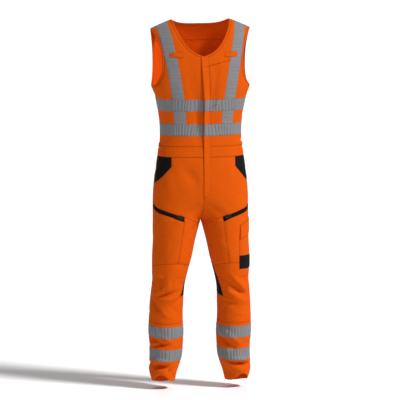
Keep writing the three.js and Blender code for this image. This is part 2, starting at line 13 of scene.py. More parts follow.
import bpy
import numpy as np
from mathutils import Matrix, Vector


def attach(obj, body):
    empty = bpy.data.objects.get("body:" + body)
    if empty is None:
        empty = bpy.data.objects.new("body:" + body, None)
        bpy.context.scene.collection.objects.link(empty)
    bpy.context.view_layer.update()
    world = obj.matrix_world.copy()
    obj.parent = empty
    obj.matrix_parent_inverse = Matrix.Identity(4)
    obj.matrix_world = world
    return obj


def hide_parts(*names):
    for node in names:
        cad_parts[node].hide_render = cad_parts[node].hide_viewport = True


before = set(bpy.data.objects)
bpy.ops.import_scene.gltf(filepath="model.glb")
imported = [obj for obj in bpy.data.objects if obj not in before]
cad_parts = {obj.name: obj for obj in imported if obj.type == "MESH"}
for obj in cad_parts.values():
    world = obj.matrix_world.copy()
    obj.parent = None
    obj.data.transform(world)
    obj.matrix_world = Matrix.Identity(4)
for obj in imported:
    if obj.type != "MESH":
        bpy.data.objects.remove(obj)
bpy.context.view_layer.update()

# %% [markdown]
# ## Camera, floor and light
# The camera stands far away and has a long lens, which keeps a garment's proportions true. The lens
# follows from the height that the picture has to hold. A pale floor, a pale world and two soft lights
# stand in for a studio: the key light comes from the viewer's right, so that folds show.

# %% Camera and studio
MM = 0.001
DISTANCE, VIEW_HEIGHT, SENSOR = 30.0, 1.680, 36.0   # metres, and millimetres for the sensor
AIM = Vector((0.0, 0.0, -0.764))
FLOOR_LEVEL, FLOOR_HALF = -1.56, 400.0
SKY = 0.26


def toward(azimuth, elevation):
    """The direction from the garment to something round it, in degrees; 0 is straight in front."""
    azimuth, elevation = math.radians(azimuth), math.radians(elevation)
    level = math.cos(elevation)
    return Vector((math.sin(azimuth) * level, -math.cos(azimuth) * level, math.sin(elevation)))


def add_object(name, data):
    obj = bpy.data.objects.new(name, data)
    bpy.context.scene.collection.objects.link(obj)
    return obj


def new_finish(name, roughness, shine=0.5, colour=None):
    """A new material; one that is given no colour gets it from nodes."""
    material = bpy.data.materials.new(name)
    material.use_nodes = True
    inputs = material.node_tree.nodes["Principled BSDF"].inputs
    inputs["Roughness"].default_value = roughness
    inputs["Specular IOR Level"].default_value = shine
    if colour:
        inputs["Base Color"].default_value = (*colour, 1)
    return material


def add_camera(azimuth, elevation):
    data = bpy.data.cameras.new("camera")
    data.sensor_width = SENSOR
    data.lens = SENSOR * DISTANCE / VIEW_HEIGHT
    data.clip_end = 1000.0
    camera = add_object("camera", data)
    camera.location = AIM + toward(azimuth, elevation) * DISTANCE
    camera.rotation_euler = toward(azimuth, elevation).to_track_quat("Z", "Y").to_euler()
    bpy.context.scene.camera = camera


def add_sun(name, azimuth, elevation, softness, strength):
    """Even light from far away, soft because its source is wide; angles are in degrees."""
    data = bpy.data.lights.new(name, "SUN")
    data.angle, data.energy = math.radians(softness), strength
    add_object(name, data).rotation_euler = toward(azimuth, elevation).to_track_quat("Z", "Y").to_euler()


def add_floor():
    mesh = bpy.data.meshes.new("floor")
    corners = [(x * FLOOR_HALF, y * FLOOR_HALF, FLOOR_LEVEL) for x, y in ((-1, -1), (1, -1), (1, 1), (-1, 1))]
    mesh.from_pydata(corners, [], [(0, 1, 2, 3)])
    mesh.materials.append(new_finish("pale_floor", 0.9, colour=(0.97, 0.97, 0.97)))
    add_object("floor", mesh)


def add_world():
    world = bpy.data.worlds.new("studio")
    world.use_nodes = True
    background = world.node_tree.nodes["Background"]
    background.inputs["Color"].default_value = (1.0, 1.0, 1.0, 1.0)
    background.inputs["Strength"].default_value = SKY
    bpy.context.scene.world = world


add_camera(azimuth=-9, elevation=7)
add_world()
add_sun("key", azimuth=50, elevation=45, softness=12, strength=3.6)
add_sun("rim", azimuth=170, elevation=40, softness=24, strength=0.5)
add_floor()
bpy.context.scene.view_settings.view_transform = "Standard"
print("camera lens", round(SENSOR * DISTANCE / VIEW_HEIGHT), "mm at", DISTANCE, "m")

# %% [markdown]
# ## The worn form
# All the cloth lies on one smooth form: oval sections down the trunk that turn into two round legs at
# the fork, and a front and a back that lean together over the shoulders. Each section is a row in a
# short table, and a smooth curve runs through each column. Sizes here are in millimetres. One turn runs
# half way round: 0 at the centre front or the inseam, 90 at the side seam, 180 at the back or inseam.

# %% Sizes and sections
SEAM = 0.3
TAPE, BAND = 50.0, 9.0
ARMPIT = (207.0, -277.0)
SHOULDER_TIP = (211.0, -38.0)
NECK_X, NECK_DROP_FRONT, NECK_DROP_BACK = 121.0, 146.0, 22.0
NECK_V = 40.0   # how much of the front drop is a plain V
ARMHOLE_NARROW = {"front": (172.0, -165.0), "back": (196.0, -185.0)}
CROTCH, RISE, HEM = -840.0, 165.0, -1526.0
HEM_DIP = 13.0   # how much lower the hem hangs behind
FORK_FLAT, FORK_FLAT_END = 30.0, -1000.0
WIDEST_Y = -12.0


def table(names, *rows):
    return dict(zip(names.split(), np.array(rows, float).T))


TRUNK = table(
    "z half front back square",
    (-277, 207, 112, 116, 2.35), (-330, 189, 110, 108, 2.35), (-400, 176, 103, 96, 2.35),
    (-468, 170, 98, 88, 2.35), (-536, 176, 100, 96, 2.3), (-603, 186, 104, 114, 2.3),
    (-671, 195, 107, 128, 2.25), (-740, 200, 107, 132, 2.2), (-800, 201, 102, 126, 2.2),
    (-855, 201, 96, 118, 2.2),
)
LEG = table(
    "z x half y depth",
    (-640, 100, 100, -12, 102), (-840, 100.5, 100.5, -12, 99.5), (-865, 104, 97.5, -12.5, 98),
    (-890, 107.5, 94, -13, 96), (-925, 112, 89, -14, 93), (-993, 121.5, 83, -15, 87),
    (-1060, 130.5, 74, -13, 80),
    (-1094, 134, 69, -11, 76), (-1128, 138.5, 68, -8, 75), (-1196, 143, 69.5, 0, 75),
    (-1247, 145, 70, 4, 76), (-1315, 144, 72.5, 8, 77), (-1365, 143, 70, 10, 74),
    (-1416, 144.5, 67, 10, 71), (-1450, 150, 64, 9, 69), (-1484, 156, 58, 8, 67),
    (-1528, 155, 46, 8, 60),
)


def hump(distance, wide):
    """1 where the distance is 0, fading out on both sides of it."""
    return np.exp(-((distance / wide) ** 2))


def column(rows, key, z):
    """A smooth curve through one column of a table, read at each height in z."""
    heights, values = rows["z"], rows[key]
    last = len(heights) - 1
    i = np.clip(np.searchsorted(-heights, -np.asarray(z), side="right") - 1, 0, last - 1)
    before, after = np.maximum(i - 1, 0), np.minimum(i + 2, last)
    span = heights[i + 1] - heights[i]
    t = np.clip((z - heights[i]) / span, 0, 1)
    slope_a = (values[i + 1] - values[before]) / (heights[i + 1] - heights[before]) * span
    slope_b = (values[after] - values[i]) / (heights[after] - heights[i]) * span
    return (
        (2 * t**3 - 3 * t**2 + 1) * values[i] + (t**3 - 2 * t**2 + t) * slope_a
        + (3 * t**2 - 2 * t**3) * values[i + 1] + (t**3 - t**2) * slope_b
    )


def trunk_form(turn, z):
    power = 2 / column(TRUNK, "square", z)
    depth = np.where(turn < 90, column(TRUNK, "front", z), column(TRUNK, "back", z))
    cosine = np.cos(np.radians(turn))
    x = column(TRUNK, "half", z) * np.maximum(np.sin(np.radians(turn)), 0) ** power
    y = WIDEST_Y - depth * np.sign(cosine) * np.abs(cosine) ** power
    return np.stack(np.broadcast_arrays(x, y, z), -1)


def leg_form(turn, z):
    half = column(LEG, "half", z)
    x = np.where(z < CROTCH, column(LEG, "x", z), half)
    around = np.radians(2 * turn)
    aside = np.abs(np.sin(around))
    flat = FORK_FLAT * np.clip((z - FORK_FLAT_END) / (CROTCH - FORK_FLAT_END), 0, 1) * (np.cos(around) > 0)
    x = x - half * np.cos(around) + flat * aside * (1 - aside)
    y = column(LEG, "y", z) - column(LEG, "depth", z) * np.sin(around)
    return np.stack(np.broadcast_arrays(x, y, z), -1)


def shoulder_form(turn, up):
    at = trunk_form(turn, np.full_like(up, ARMPIT[1]))
    x = at[..., 0] * (1 + 0.03 * up)
    out = (x - NECK_X) / (SHOULDER_TIP[0] - NECK_X)
    ridge = np.where(out > 0, SHOULDER_TIP[1] * out, -4 * out)
    rounding = 2.05
    y = at[..., 1] * np.maximum(1 - up**rounding, 0) ** (1 / rounding)
    return np.stack([x, y, ARMPIT[1] + up * (ridge - ARMPIT[1])], -1)


print("form: shoulder to hem", -HEM, "mm, fork at", CROTCH, "mm")

# %% [markdown]
# ## Creases placed one by one
# Cloth bends where the body bends: behind and over the knees, at the fork, at the waist and above the
# hem, where the legs are a little too long. Each crease is one row: where it lies, half its length and
# width, how deep it is (a minus sign is a trough) and how far it leans from level. One side may be
# steeper, where cloth stands in a roll over a trough. No two are alike.

# %% Crease table
# side is 1 for the wearer's left and -1 for the right. Each row is turn, z, half length, width below the
# crease's line, width above it, depth, and lean; turn and lean are in degrees.
TURN_LENGTH = 2.6   # millimetres of cloth to one degree of turn
CREASES = {
    -1: [
        # knee, front
        (51, -1151, 40, 13, 8, -17, -12), (64, -1142, 26, 9, 9, 5, -38), (64, -1108, 32, 14, 11, -10, 84),
        (50, -1112, 30, 9, 9, 3.5, 82), (70, -1198, 38, 15, 7, -12, 46), (31, -1184, 38, 8, 7, -6, -40),
        (48, -1174, 34, 10, 8, 5, -6), (34, -1222, 36, 12, 9, -3, 32), (50, -1238, 30, 9, 8, 2, 18),
        (22, -1110, 26, 9, 7, -2.5, 6), (56, -1226, 30, 10, 10, 3, 44),
        # between the tapes and above the hem
        (68, -1350, 36, 15, 7, -14, 30), (60, -1370, 38, 6, 6, -14, -8), (76, -1364, 26, 6, 6, 4, -10),
        (46, -1350, 30, 10, 10, 5, 34), (58, -1457, 38, 15, 5, -26, 3), (56, -1438, 44, 7, 8, 9, 2),
        (52, -1483, 34, 12, 12, 6, 0), (39, -1481, 16, 10, 7, -11, -36), (30, -1462, 22, 8, 8, 3, -40),
        (74, -1484, 22, 9, 7, -6, 20), (18, -1452, 20, 9, 7, -5, -34), (26, -1500, 24, 9, 8, -4, 34),
        (60, -1310, 24, 12, 12, -3, 70), (34, -1404, 24, 10, 10, -3, -70),
        # thigh
        (24, -885, 60, 14, 14, -3, -48), (40, -935, 70, 18, 18, 2.5, -62), (66, -985, 60, 16, 16, -2.5, 70),
        (30, -1030, 46, 10, 10, -2.5, 16), (66, -1085, 32, 8, 8, -3, -12),
        # back
        (138, -1140, 48, 14, 8, -13, -8), (130, -1453, 40, 13, 5, -18, 8), (120, -1112, 40, 9, 9, -4, 14),
        (150, -1086, 38, 9, 9, -3.5, -12), (136, -1172, 40, 9, 9, -3.5, 10),
        (112, -1354, 40, 12, 7, -9, 18), (146, -1364, 36, 9, 7, -8, -20), (116, -1478, 30, 9, 7, -8, -12),
        (150, -900, 52, 13, 13, -4, 24), (124, -950, 60, 16, 16, -2.5, -30),
        (144, -1290, 34, 9, 9, -2.5, 14), (92, -1240, 30, 9, 9, -2, 40), (140, -1434, 42, 7, 8, 8, 8),
        (150, -1490, 26, 9, 7, -4, 14), (96, -1450, 24, 9, 6, -6, -14),
        # seat, hips and fork
        (22, -804, 58, 12, 12, -3, -30), (14, -652, 44, 22, 22, -7, 60), (46, -690, 60, 24, 24, 3, 70),
        (60, -748, 66, 15, 15, -2.5, -26), (156, -792, 60, 14, 14, -5, 30), (132, -784, 66, 15, 15, -3, 20),
        (108, -640, 56, 14, 14, -2.5, -22),
        # waist and chest
        (87, -510, 38, 5, 5, -3.5, -6), (88, -543, 32, 5, 5, -3.5, 8), (88, -527, 30, 5, 5, 3, 5),
        (68, -498, 44, 7, 7, -2, 12), (118, -504, 56, 8, 8, -3, -5), (152, -492, 58, 9, 9, -2.5, 7),
        (5, -410, 110, 14, 12, -6, 89), (12, -280, 110, 16, 16, -3, 86), (40, -300, 90, 20, 20, -2.5, -66),
        (62, -240, 60, 14, 14, -3, -48), (134, -340, 90, 20, 20, -3, 56),
        (156, -230, 80, 18, 18, -2.5, -62), (102, -304, 50, 13, 13, -3, 36),
        (74, -398, 40, 11, 11, -2, -18),
    ],
    1: [
        # knee, front
        (44, -1128, 46, 13, 14, -14, -36), (57, -1150, 26, 9, 13, -11, -18), (52, -1110, 38, 7, 10, 8, -48),
        (66, -1098, 22, 12, 10, -5, -40), (37, -1151, 32, 8, 7, 7, -28), (34, -1192, 32, 14, 9, -8, -22),
        (27, -1128, 24, 9, 9, -3, 70), (54, -1180, 36, 12, 10, 5, -14), (66, -1204, 28, 9, 7, -5, 26),
        (54, -1240, 32, 10, 8, 2, -10), (28, -1092, 28, 9, 7, -2.5, -8), (24, -1214, 26, 8, 8, -3, 40),
        # between the tapes and above the hem
        (27, -1358, 42, 15, 8, -14, -35), (42, -1350, 38, 8, 12, 7, -38), (62, -1370, 26, 8, 8, -4, 24),
        (74, -1352, 22, 8, 8, 4, 30), (54, -1451, 38, 12, 4, -25, -4), (52, -1436, 42, 7, 8, 9, -4),
        (34, -1446, 20, 9, 6, -9, -20), (52, -1480, 36, 12, 12, 6, -2), (21, -1486, 30, 15, 13, -7, -42),
        (73, -1478, 20, 8, 6, -6, 12), (66, -1502, 22, 8, 8, 3, -14), (24, -1448, 24, 8, 8, 4, -24),
        (26, -1296, 24, 12, 10, -5, -36), (40, -1392, 26, 12, 12, -5, 64), (22, -1404, 20, 10, 10, -4, -50),
        # thigh
        (22, -884, 62, 13, 13, -3.5, -50), (34, -930, 64, 15, 15, 2.5, -64), (54, -985, 64, 18, 18, -2, 74),
        (26, -1032, 44, 10, 10, -2.5, 14), (68, -1082, 30, 8, 8, -2.5, 12),
        # back
        (134, -1146, 46, 14, 8, -12, 10), (142, -1451, 42, 13, 5, -18, -10),
        (118, -1108, 38, 9, 9, -4, -10), (152, -1092, 40, 9, 9, -3.5, 12),
        (128, -1176, 40, 9, 9, -3.5, -14), (114, -1356, 40, 12, 7, -10, -16),
        (142, -1366, 34, 9, 7, -8, 18), (120, -1478, 30, 9, 7, -8, 10), (148, -896, 54, 13, 13, -4, 26),
        (126, -955, 60, 16, 16, -2.5, -26), (134, -1432, 42, 7, 8, 8, -10), (94, -1236, 30, 9, 9, -2, -36),
        (152, -1486, 26, 9, 7, -4, -12), (97, -1446, 24, 9, 6, -6, 14),
        # seat, hips and fork
        (20, -800, 60, 12, 12, -3.5, -34), (38, -700, 70, 20, 20, -2, 22), (58, -742, 70, 16, 16, -2, -30),
        (158, -798, 62, 14, 14, -5, 26), (128, -776, 70, 15, 15, -3, 16),
        (104, -650, 60, 14, 14, -2.5, -18), (30, -640, 60, 26, 26, 2.5, 80),
        # waist and chest
        (86, -508, 36, 5, 5, -3.5, 6), (88, -540, 32, 5, 5, -3.5, -8), (88, -524, 30, 5, 5, 3, -4),
        (70, -500, 46, 7, 7, -2, -12), (122, -500, 60, 8, 8, -3, 6), (150, -488, 60, 9, 9, -2.5, -8),
        (8, -300, 70, 14, 14, -2.5, 82), (46, -250, 90, 18, 18, -2, 64), (62, -236, 60, 14, 14, -3, 50),
        (132, -330, 90, 20, 20, -3, -58), (158, -240, 80, 18, 18, -2, 60), (104, -300, 50, 13, 13, -3, -34),
        (76, -402, 40, 11, 11, -2, 20),
    ],
}


def crease_relief(side, turn, z):
    """How far the creases on one side raise the cloth."""
    total = np.zeros(np.broadcast(turn, z).shape)
    for at_turn, at_z, long, lower, upper, deep, lean in CREASES[side]:
        lean = math.radians(lean)
        across, down = (turn - at_turn) * TURN_LENGTH, z - at_z
        run = across * math.cos(lean) + down * math.sin(lean)
        off = down * math.cos(lean) - across * math.sin(lean)
        wide = np.where(off > 0, upper, lower)
        total += deep * np.exp(-((run / long) ** 2) - (off / wide) ** 2)
    return total


print(sum(len(rows) for rows in CREASES.values()), "creases placed by hand")

# %% [markdown]
# ## One fine grid for every piece
# Neighbouring pieces must meet exactly, and a tape must lie exactly on its panel. Modelling each by
# itself would never fit, so one fine grid of facets covers the whole form, and every piece is cut from
# it. Along with its place, each grid point knows its distance from the seams, measured on the cloth.

# %% Build the grid
TURNS = np.linspace(0, 180, 97)
UPS = np.sin(np.linspace(math.pi / 2, 0.04, 48))
NEAR_FORK = [-822, -827, -831.5, -835, -837.5, -839.2]
TRUNK_LEVELS = np.concatenate([np.linspace(ARMPIT[1], -817, 104), NEAR_FORK])
INSEAM_FADE, FORK_FADE = 8, 25   # degrees and millimetres over which creases die out
FINER_BELOW = -1070   # the lower legs carry the sharpest creases
UPPER_LEVELS = np.linspace(CROTCH, FINER_BELOW, 52)[:-1]
LEG_LEVELS = np.concatenate([UPPER_LEVELS, np.linspace(FINER_BELOW, HEM - HEM_DIP, 152)])


def form_points(side):
    turn = TURNS[None, :]
    shoulders = shoulder_form(*np.broadcast_arrays(turn, UPS[:, None]))
    z = TRUNK_LEVELS[:, None]
    fallen = np.clip((CROTCH + RISE - z) / RISE, 0, 1)
    share = (1 - np.sqrt(1 - fallen**2))[..., None]
    trunk = trunk_form(turn, z) * (1 - share) + leg_form(turn, z) * share
    points = np.concatenate([shoulders, trunk, leg_form(turn, LEG_LEVELS[:, None])])
    return points * [side, 1, 1]


def along_rows(points):
    steps = np.linalg.norm(np.diff(points, axis=1), axis=2)
    return np.concatenate([np.zeros((len(points), 1)), np.cumsum(steps, axis=1)], axis=1)


points = np.stack([form_points(1), form_points(-1)])
SHAPE = points.shape[:3]
index = np.arange(points.size // 3).reshape(SHAPE)
corner = [index[:, :-1, :-1], index[:, :-1, 1:], index[:, 1:, 1:], index[:, 1:, :-1]]
a, b, c, d = (part.reshape(2, -1) for part in corner)
left_facets = np.concatenate([np.stack([a[0], d[0], b[0]], 1), np.stack([b[0], d[0], c[0]], 1)])
right_facets = np.concatenate([np.stack([a[1], b[1], d[1]], 1), np.stack([b[1], c[1], d[1]], 1)])
FACETS = np.concatenate([left_facets, right_facets])
FACET_SIDE = np.repeat([1, -1], len(left_facets))
_, welded = np.unique(np.round(points.reshape(-1, 3), 3), axis=0, return_inverse=True)
welded = welded.ravel()


def outward(points):
    """Outward directions at the grid points, longer in hollow corners, where a wall would be thin."""
    flat = points.reshape(-1, 3)
    p, q, r = (flat[FACETS[:, k]] for k in range(3))
    face = np.cross(q - p, r - p)
    total = np.zeros((welded.max() + 1, 3))
    for k in range(3):
        np.add.at(total, welded[FACETS[:, k]], face)
    total /= np.maximum(np.linalg.norm(total, axis=1, keepdims=True), 1e-9)
    unit = face / np.maximum(np.linalg.norm(face, axis=1, keepdims=True), 1e-9)
    steep = np.ones(len(total))
    for k in range(3):
        ids = welded[FACETS[:, k]]
        np.minimum.at(steep, ids, np.sum(total[ids] * unit, axis=1))
    return (total / np.clip(steep, 0.35, 1)[:, None])[welded].reshape(points.shape)


levels = points[..., 2]
relief = np.stack([crease_relief(1, TURNS[None, :], levels[0]), crease_relief(-1, TURNS[None, :], levels[1])])
from_inseam = np.minimum(np.minimum(TURNS, 180 - TURNS) / INSEAM_FADE, 1)
from_fork = np.clip(np.abs(levels - CROTCH) / FORK_FADE, 0, 1)
form_normals = outward(points)
form_normals /= np.linalg.norm(form_normals, axis=-1, keepdims=True)
moved = (points + form_normals * (relief * from_inseam * from_fork)[..., None]).reshape(-1, 3)
shared = np.bincount(welded)[:, None]
means = np.stack([np.bincount(welded, moved[:, k]) for k in range(3)], 1) / shared
points = means[welded].reshape(points.shape)
normals = outward(points)

turn = np.broadcast_to(TURNS, SHAPE)
side_sign = np.array([1.0, -1.0])[:, None, None]
around = np.stack([along_rows(points[0]), along_rows(points[1])])
steps_down = np.linalg.norm(np.diff(points, axis=1), axis=3)
drop = np.concatenate([np.zeros((2, 1, SHAPE[2])), np.cumsum(steps_down, axis=1)], axis=1)
Z = points[..., 2]
across = np.abs(points[..., 0])
from_front, from_back = around, around[..., -1:] - around
from_side = around[..., len(TURNS) // 2, None] - around
print("grid:", index.size, "points,", len(FACETS), "facets")

# %% [markdown]
# ## Cutting
# A piece is cut from the grid by rules. Each rule is a distance in millimetres that is above 0 inside
# the piece. Facets that cross an edge are cut along it, and again a little way in, so that the cloth can
# roll down into its seam. The cut sheet then gets a back face and a rim, because cloth has a thickness.

# %% Cut and thicken
ROLL_STEPS = [1.2, 4.5]   # where the cloth starts to roll down into a seam
SEAM_STEPS = [-4.5, -1.2, 0.0, 1.2, 4.5]   # the same, on both sides of a seam within a piece
GAP = 0.05   # how far each piece stays back from a line that it shares
POINT, NORMAL, MAP, LIFT, RULES = slice(0, 3), slice(3, 6), slice(6, 8), 8, 9


def split(polygon, rule, value):
    """The parts of a polygon where a rule is over and under a value."""
    over, under = [], []
    for i, a in enumerate(polygon):
        b = polygon[(i + 1) % len(polygon)]
        (over if a[rule] > value else under).append(a)
        if (a[rule] > value) != (b[rule] > value):
            first, second = (a, b) if tuple(a[POINT]) < tuple(b[POINT]) else (b, a)
            share = (first[rule] - value) / (first[rule] - second[rule])
            middle = first + (second - first) * share
            over.append(middle)
            under.append(middle)
    return over, under


def cut_along(parts, column_, values):
    """Cuts polygons along the lines where one column has each of the values."""
    done = []
    for part in parts:
        spread = [corner[column_] for corner in part]
        first, last = bisect.bisect_right(values, min(spread)), bisect.bisect_left(values, max(spread))
        for value in values[first:last]:
            part, rest = split(part, column_, value)
            if len(rest) > 2:
                done.append(rest)
            if len(part) < 3:
                break
        if len(part) > 2:
            done.append(part)
    return done


def with_fields(*fields):
    """Each grid point's place and outward direction, and after them what each field is there."""
    columns = [np.broadcast_to(values, SHAPE).reshape(-1, 1) for values in fields]
    return np.concatenate([points.reshape(-1, 3), normals.reshape(-1, 3), *columns], axis=1)


def cut_sheet(rules, sides, run, fall, lift=0.0, seams=(), steps=()):
    """The part of the grid where every rule is above 0: corners, triangles and depth inside the edges.

    A seam is a line across the piece: the distance from it, and how far a place lies past its end.
    Steps are further lines to cut along, where a sheet gets a finer shape afterwards.
    """
    columns = [run, fall, lift, *rules, *(field for seam in seams for field in seam)]
    columns += [field for field, _ in steps]
    rows = with_fields(*columns)
    seam_column, step_column = RULES + len(rules), RULES + len(rules) + 2 * len(seams)
    lines = [(RULES + r, ROLL_STEPS) for r in range(len(rules))]
    lines += [(seam_column + 2 * k, SEAM_STEPS) for k in range(len(seams))]
    lines += [(step_column + k, list(values)) for k, (_, values) in enumerate(steps)]
    at = rows[:, RULES:seam_column][FACETS]
    near = (at > 0).any(1).all(1) & np.isin(FACET_SIDE, sides)
    clear = near & (at > ROLL_STEPS[-1]).all((1, 2))
    for column_, values in lines[len(rules):]:
        band = np.searchsorted(values, rows[:, column_][FACETS])
        clear &= band.max(1) == band.min(1)
    corners = [rows[FACETS[clear]].reshape(-1, rows.shape[1])]
    sizes = [3] * int(clear.sum())
    for facet in FACETS[near & ~clear]:
        polygon = list(rows[facet])
        for r in range(RULES, seam_column):
            if polygon and min(corner[r] for corner in polygon) <= 0:
                polygon = split(polygon, r, 0.0)[0]
        parts = [polygon] if len(polygon) > 2 else []
        for column_, values in lines:
            parts = cut_along(parts, column_, values)
        corners += [np.array(part) for part in parts]
        sizes += [len(part) for part in parts]
    corners = np.concatenate(corners)
    key = np.round(corners[:, [0, 1, 2, 6, 7]] * 500)
    _, first, ids = np.unique(key, axis=0, return_index=True, return_inverse=True)
    ids = ids.ravel()
    triangles = []
    start = 0
    for size in sizes:
        ring = ids[start:start + size]
        ring = [i for k, i in enumerate(ring) if i != ring[k - 1]]
        triangles += [(ring[0], ring[k - 1], ring[k]) for k in range(2, len(ring))]
        start += size
    corners = corners[first]
    deep = corners[:, RULES:seam_column].min(1)
    for k in range(seam_column, step_column, 2):
        deep = np.minimum(deep, np.hypot(corners[:, k], np.maximum(corners[:, k + 1], 0)))
    return corners, np.array([t for t in triangles if len(set(t)) == 3]), np.clip(deep, 0, 20)


def open_edges(triangles):
    edges = np.concatenate([triangles[:, [0, 1]], triangles[:, [1, 2]], triangles[:, [2, 0]]])
    size = triangles.max() + 1
    codes, back_codes = edges[:, 0] * size + edges[:, 1], edges[:, 1] * size + edges[:, 0]
    return edges[~np.isin(codes, back_codes)]


SOFT_SINK, SINK_WIDE = 0.5, 4.0   # how far the cloth dips at its seams, and over what width


def top_height(distance, low, thick):
    """The height of a piece's outer face over the form, some way in from its edge."""
    return low + thick - SOFT_SINK * hump(distance, SINK_WIDE) - 0.45 * thick * hump(distance, 1.7)


def wall(name, corners, triangles, distance, low, thick):
    """A closed sheet from a height above the form to another, rolled down at its edges."""
    base = low + corners[:, LIFT] - SOFT_SINK * hump(distance, SINK_WIDE)
    top = corners[:, LIFT] + top_height(distance, low, thick)
    inner = corners[:, POINT] + corners[:, NORMAL] * base[:, None]
    outer = corners[:, POINT] + corners[:, NORMAL] * top[:, None]
    count = len(corners)
    rim = open_edges(triangles)
    rim_faces = np.concatenate([
        np.stack([rim[:, 0], rim[:, 1], rim[:, 1] + count], 1),
        np.stack([rim[:, 0], rim[:, 1] + count, rim[:, 0] + count], 1),
    ])
    faces = np.concatenate([triangles[:, ::-1], triangles + count, rim_faces])
    mesh = bpy.data.meshes.new(name)
    mesh.from_pydata((np.concatenate([inner, outer]) * MM).tolist(), [], faces.tolist())
    mesh.polygons.foreach_set("use_smooth", [True] * len(faces))
    loops = faces.ravel() % count
    layer = mesh.uv_layers.new(name="cloth")
    layer.data.foreach_set("uv", (corners[loops][:, MAP] * MM).ravel())
    # edge is how far in from the piece's edge; the other attribute marks the inner face, which is painted
    # lighter as painted light
    for label, values in (("edge", [*distance, *distance]), ("inside_painted_light", [1.0] * count + [0.0] * count)):
        mesh.attributes.new(label, "FLOAT", "POINT").data.foreach_set("value", values)
    mesh.set_sharp_from_angle(angle=math.radians(50))
    return add_object(name, mesh)


print("seams roll down over", ROLL_STEPS[-1], "mm")

# %% [markdown]
# ## Materials
# Five finishes: bright orange cloth, black stretch cloth, grey reflective tape, black zip tape and dark
# metal. The weave and the small rumples are shared node groups that give masks and normals only; the
# weave reads each piece's own map, which is in metres of cloth, so its pattern follows the cut of every
# piece, while the rumples read each piece's place.

# %% Node helpers and shared groups
FULL_TURN = 6.2832   # radians


def new_group(name, inputs, outputs):
    """A group of nodes with its named inputs, its inner start and its inner end; None is a direction."""
    group = bpy.data.node_groups.new(name, "ShaderNodeTree")
    for label, value in inputs.items():
        kind = "NodeSocketVector" if value is None else "NodeSocketFloat"
        socket = group.interface.new_socket(name=label, in_out="INPUT", socket_type=kind)
        if value is not None:
            socket.default_value = value
    for label in outputs.split():
        kind = "NodeSocketVector" if label == "Normal" else "NodeSocketFloat"
        group.interface.new_socket(name=label, in_out="OUTPUT", socket_type=kind)
    return group, group.nodes.new("NodeGroupInput").outputs, group.nodes.new("NodeGroupOutput")


def fill(tree, node, **inputs):
    """Sets a node's inputs, by name or by number; each is a value or another node's output."""
    for key, value in inputs.items():
        numbered = key[0] == "i" and key[1:].isdigit()
        socket = node.inputs[int(key[1:]) if numbered else key.replace("_", " ")]
        if isinstance(value, bpy.types.NodeSocket):
            tree.links.new(value, socket)
        else:
            socket.default_value = value


def add(tree, kind, settings=None, **inputs):
    """A node with its settings and inputs."""
    node = tree.nodes.new(kind)
    for key, value in (settings or {}).items():
        setattr(node, key, value)
    fill(tree, node, **inputs)
    return node


def math_node(tree, operation, a, b=0.0):
    return add(tree, "ShaderNodeMath", {"operation": operation}, i0=a, i1=b).outputs[0]


def noise(tree, settings=None, **inputs):
    return add(tree, "ShaderNodeTexNoise", settings, **inputs).outputs["Fac"]


def blend(tree, a, b, factor, way="MIX"):
    """One colour turned into another, or multiplied by it, as far as factor says."""
    settings = {"data_type": "RGBA", "blend_type": way}
    return add(tree, "ShaderNodeMix", settings, Factor=factor, A=a, B=b).outputs["Result"]


def map_range(tree, value, low, high, at_low=0.0, at_high=1.0, way="SMOOTHSTEP"):
    """One range of a value spread over another."""
    ends = {"From_Min": low, "From_Max": high, "To_Min": at_low, "To_Max": at_high}
    return add(tree, "ShaderNodeMapRange", {"interpolation_type": way}, Value=value, **ends).outputs[0]


def bump(tree, strength, distance, height, invert=False, **normal):
    """The directions of a surface that is raised by a height, which counts in distances of metres."""
    sizes = {"Strength": strength, "Distance": distance, "Height": height}
    return add(tree, "ShaderNodeBump", {"invert": invert}, **sizes, **normal).outputs["Normal"]


def attribute(tree, name):
    return add(tree, "ShaderNodeAttribute", {"attribute_name": name}).outputs["Fac"]


def on_cloth(tree):
    """A place on the piece's own map, and its two parts."""
    place = add(tree, "ShaderNodeUVMap", {"uv_map": "cloth"}).outputs["UV"]
    parts = add(tree, "ShaderNodeSeparateXYZ", Vector=place).outputs
    return place, parts["X"], parts["Y"]


def weave_group():
    """A fine diagonal rib, as in twill, and a mask of slightly uneven dye."""
    inputs = {"Pitch": 0.0011, "Strength": 0.2, "Normal": None}
    group, start, end = new_group("weave", inputs, "Normal Unevenness")
    place, along, aside = on_cloth(group)
    per_metre = math_node(group, "DIVIDE", FULL_TURN, start["Pitch"])
    slope = math_node(group, "ADD", along, math_node(group, "MULTIPLY", aside, 0.6))
    rib = math_node(group, "SINE", math_node(group, "MULTIPLY", slope, per_metre))
    ribbed = bump(group, start["Strength"], 0.0003, rib, Normal=start["Normal"])
    uneven = noise(group, Vector=place, Scale=14.0, Detail=5.0, Roughness=0.6)
    fill(group, end, Normal=ribbed, Unevenness=uneven)
    return group


def rumple_group():
    """Small soft rumples over the cloth, short puckers that run away from each seam, and a mask for painted
    seam shade.
    """
    group, start, end = new_group("rumples", {"Rumple": 0.5, "Pucker": 0.5}, "Normal Seam")
    place = add(group, "ShaderNodeTexCoord").outputs["Object"]
    broad = noise(group, Vector=place, Scale=17.0, Detail=2.0, Roughness=0.45, Distortion=0.6)
    fine = noise(group, Vector=place, Scale=70.0, Detail=3.0, Roughness=0.5, Distortion=0.8)
    edge = attribute(group, "edge")
    near = map_range(group, edge, 2.0, 14.0, 1.0, 0.0)
    # 1 on a seam's line and 0 from 1.4 mm in: where the cloth gets painted shade
    line = map_range(group, edge, 0.2, 1.4, 1.0, 0.0)
    rumpled = bump(group, start["Rumple"], 0.006, broad)
    pucker = math_node(group, "MULTIPLY", near, start["Pucker"])
    fill(group, end, Normal=bump(group, pucker, 0.0025, fine, Normal=rumpled), Seam=line)
    return group


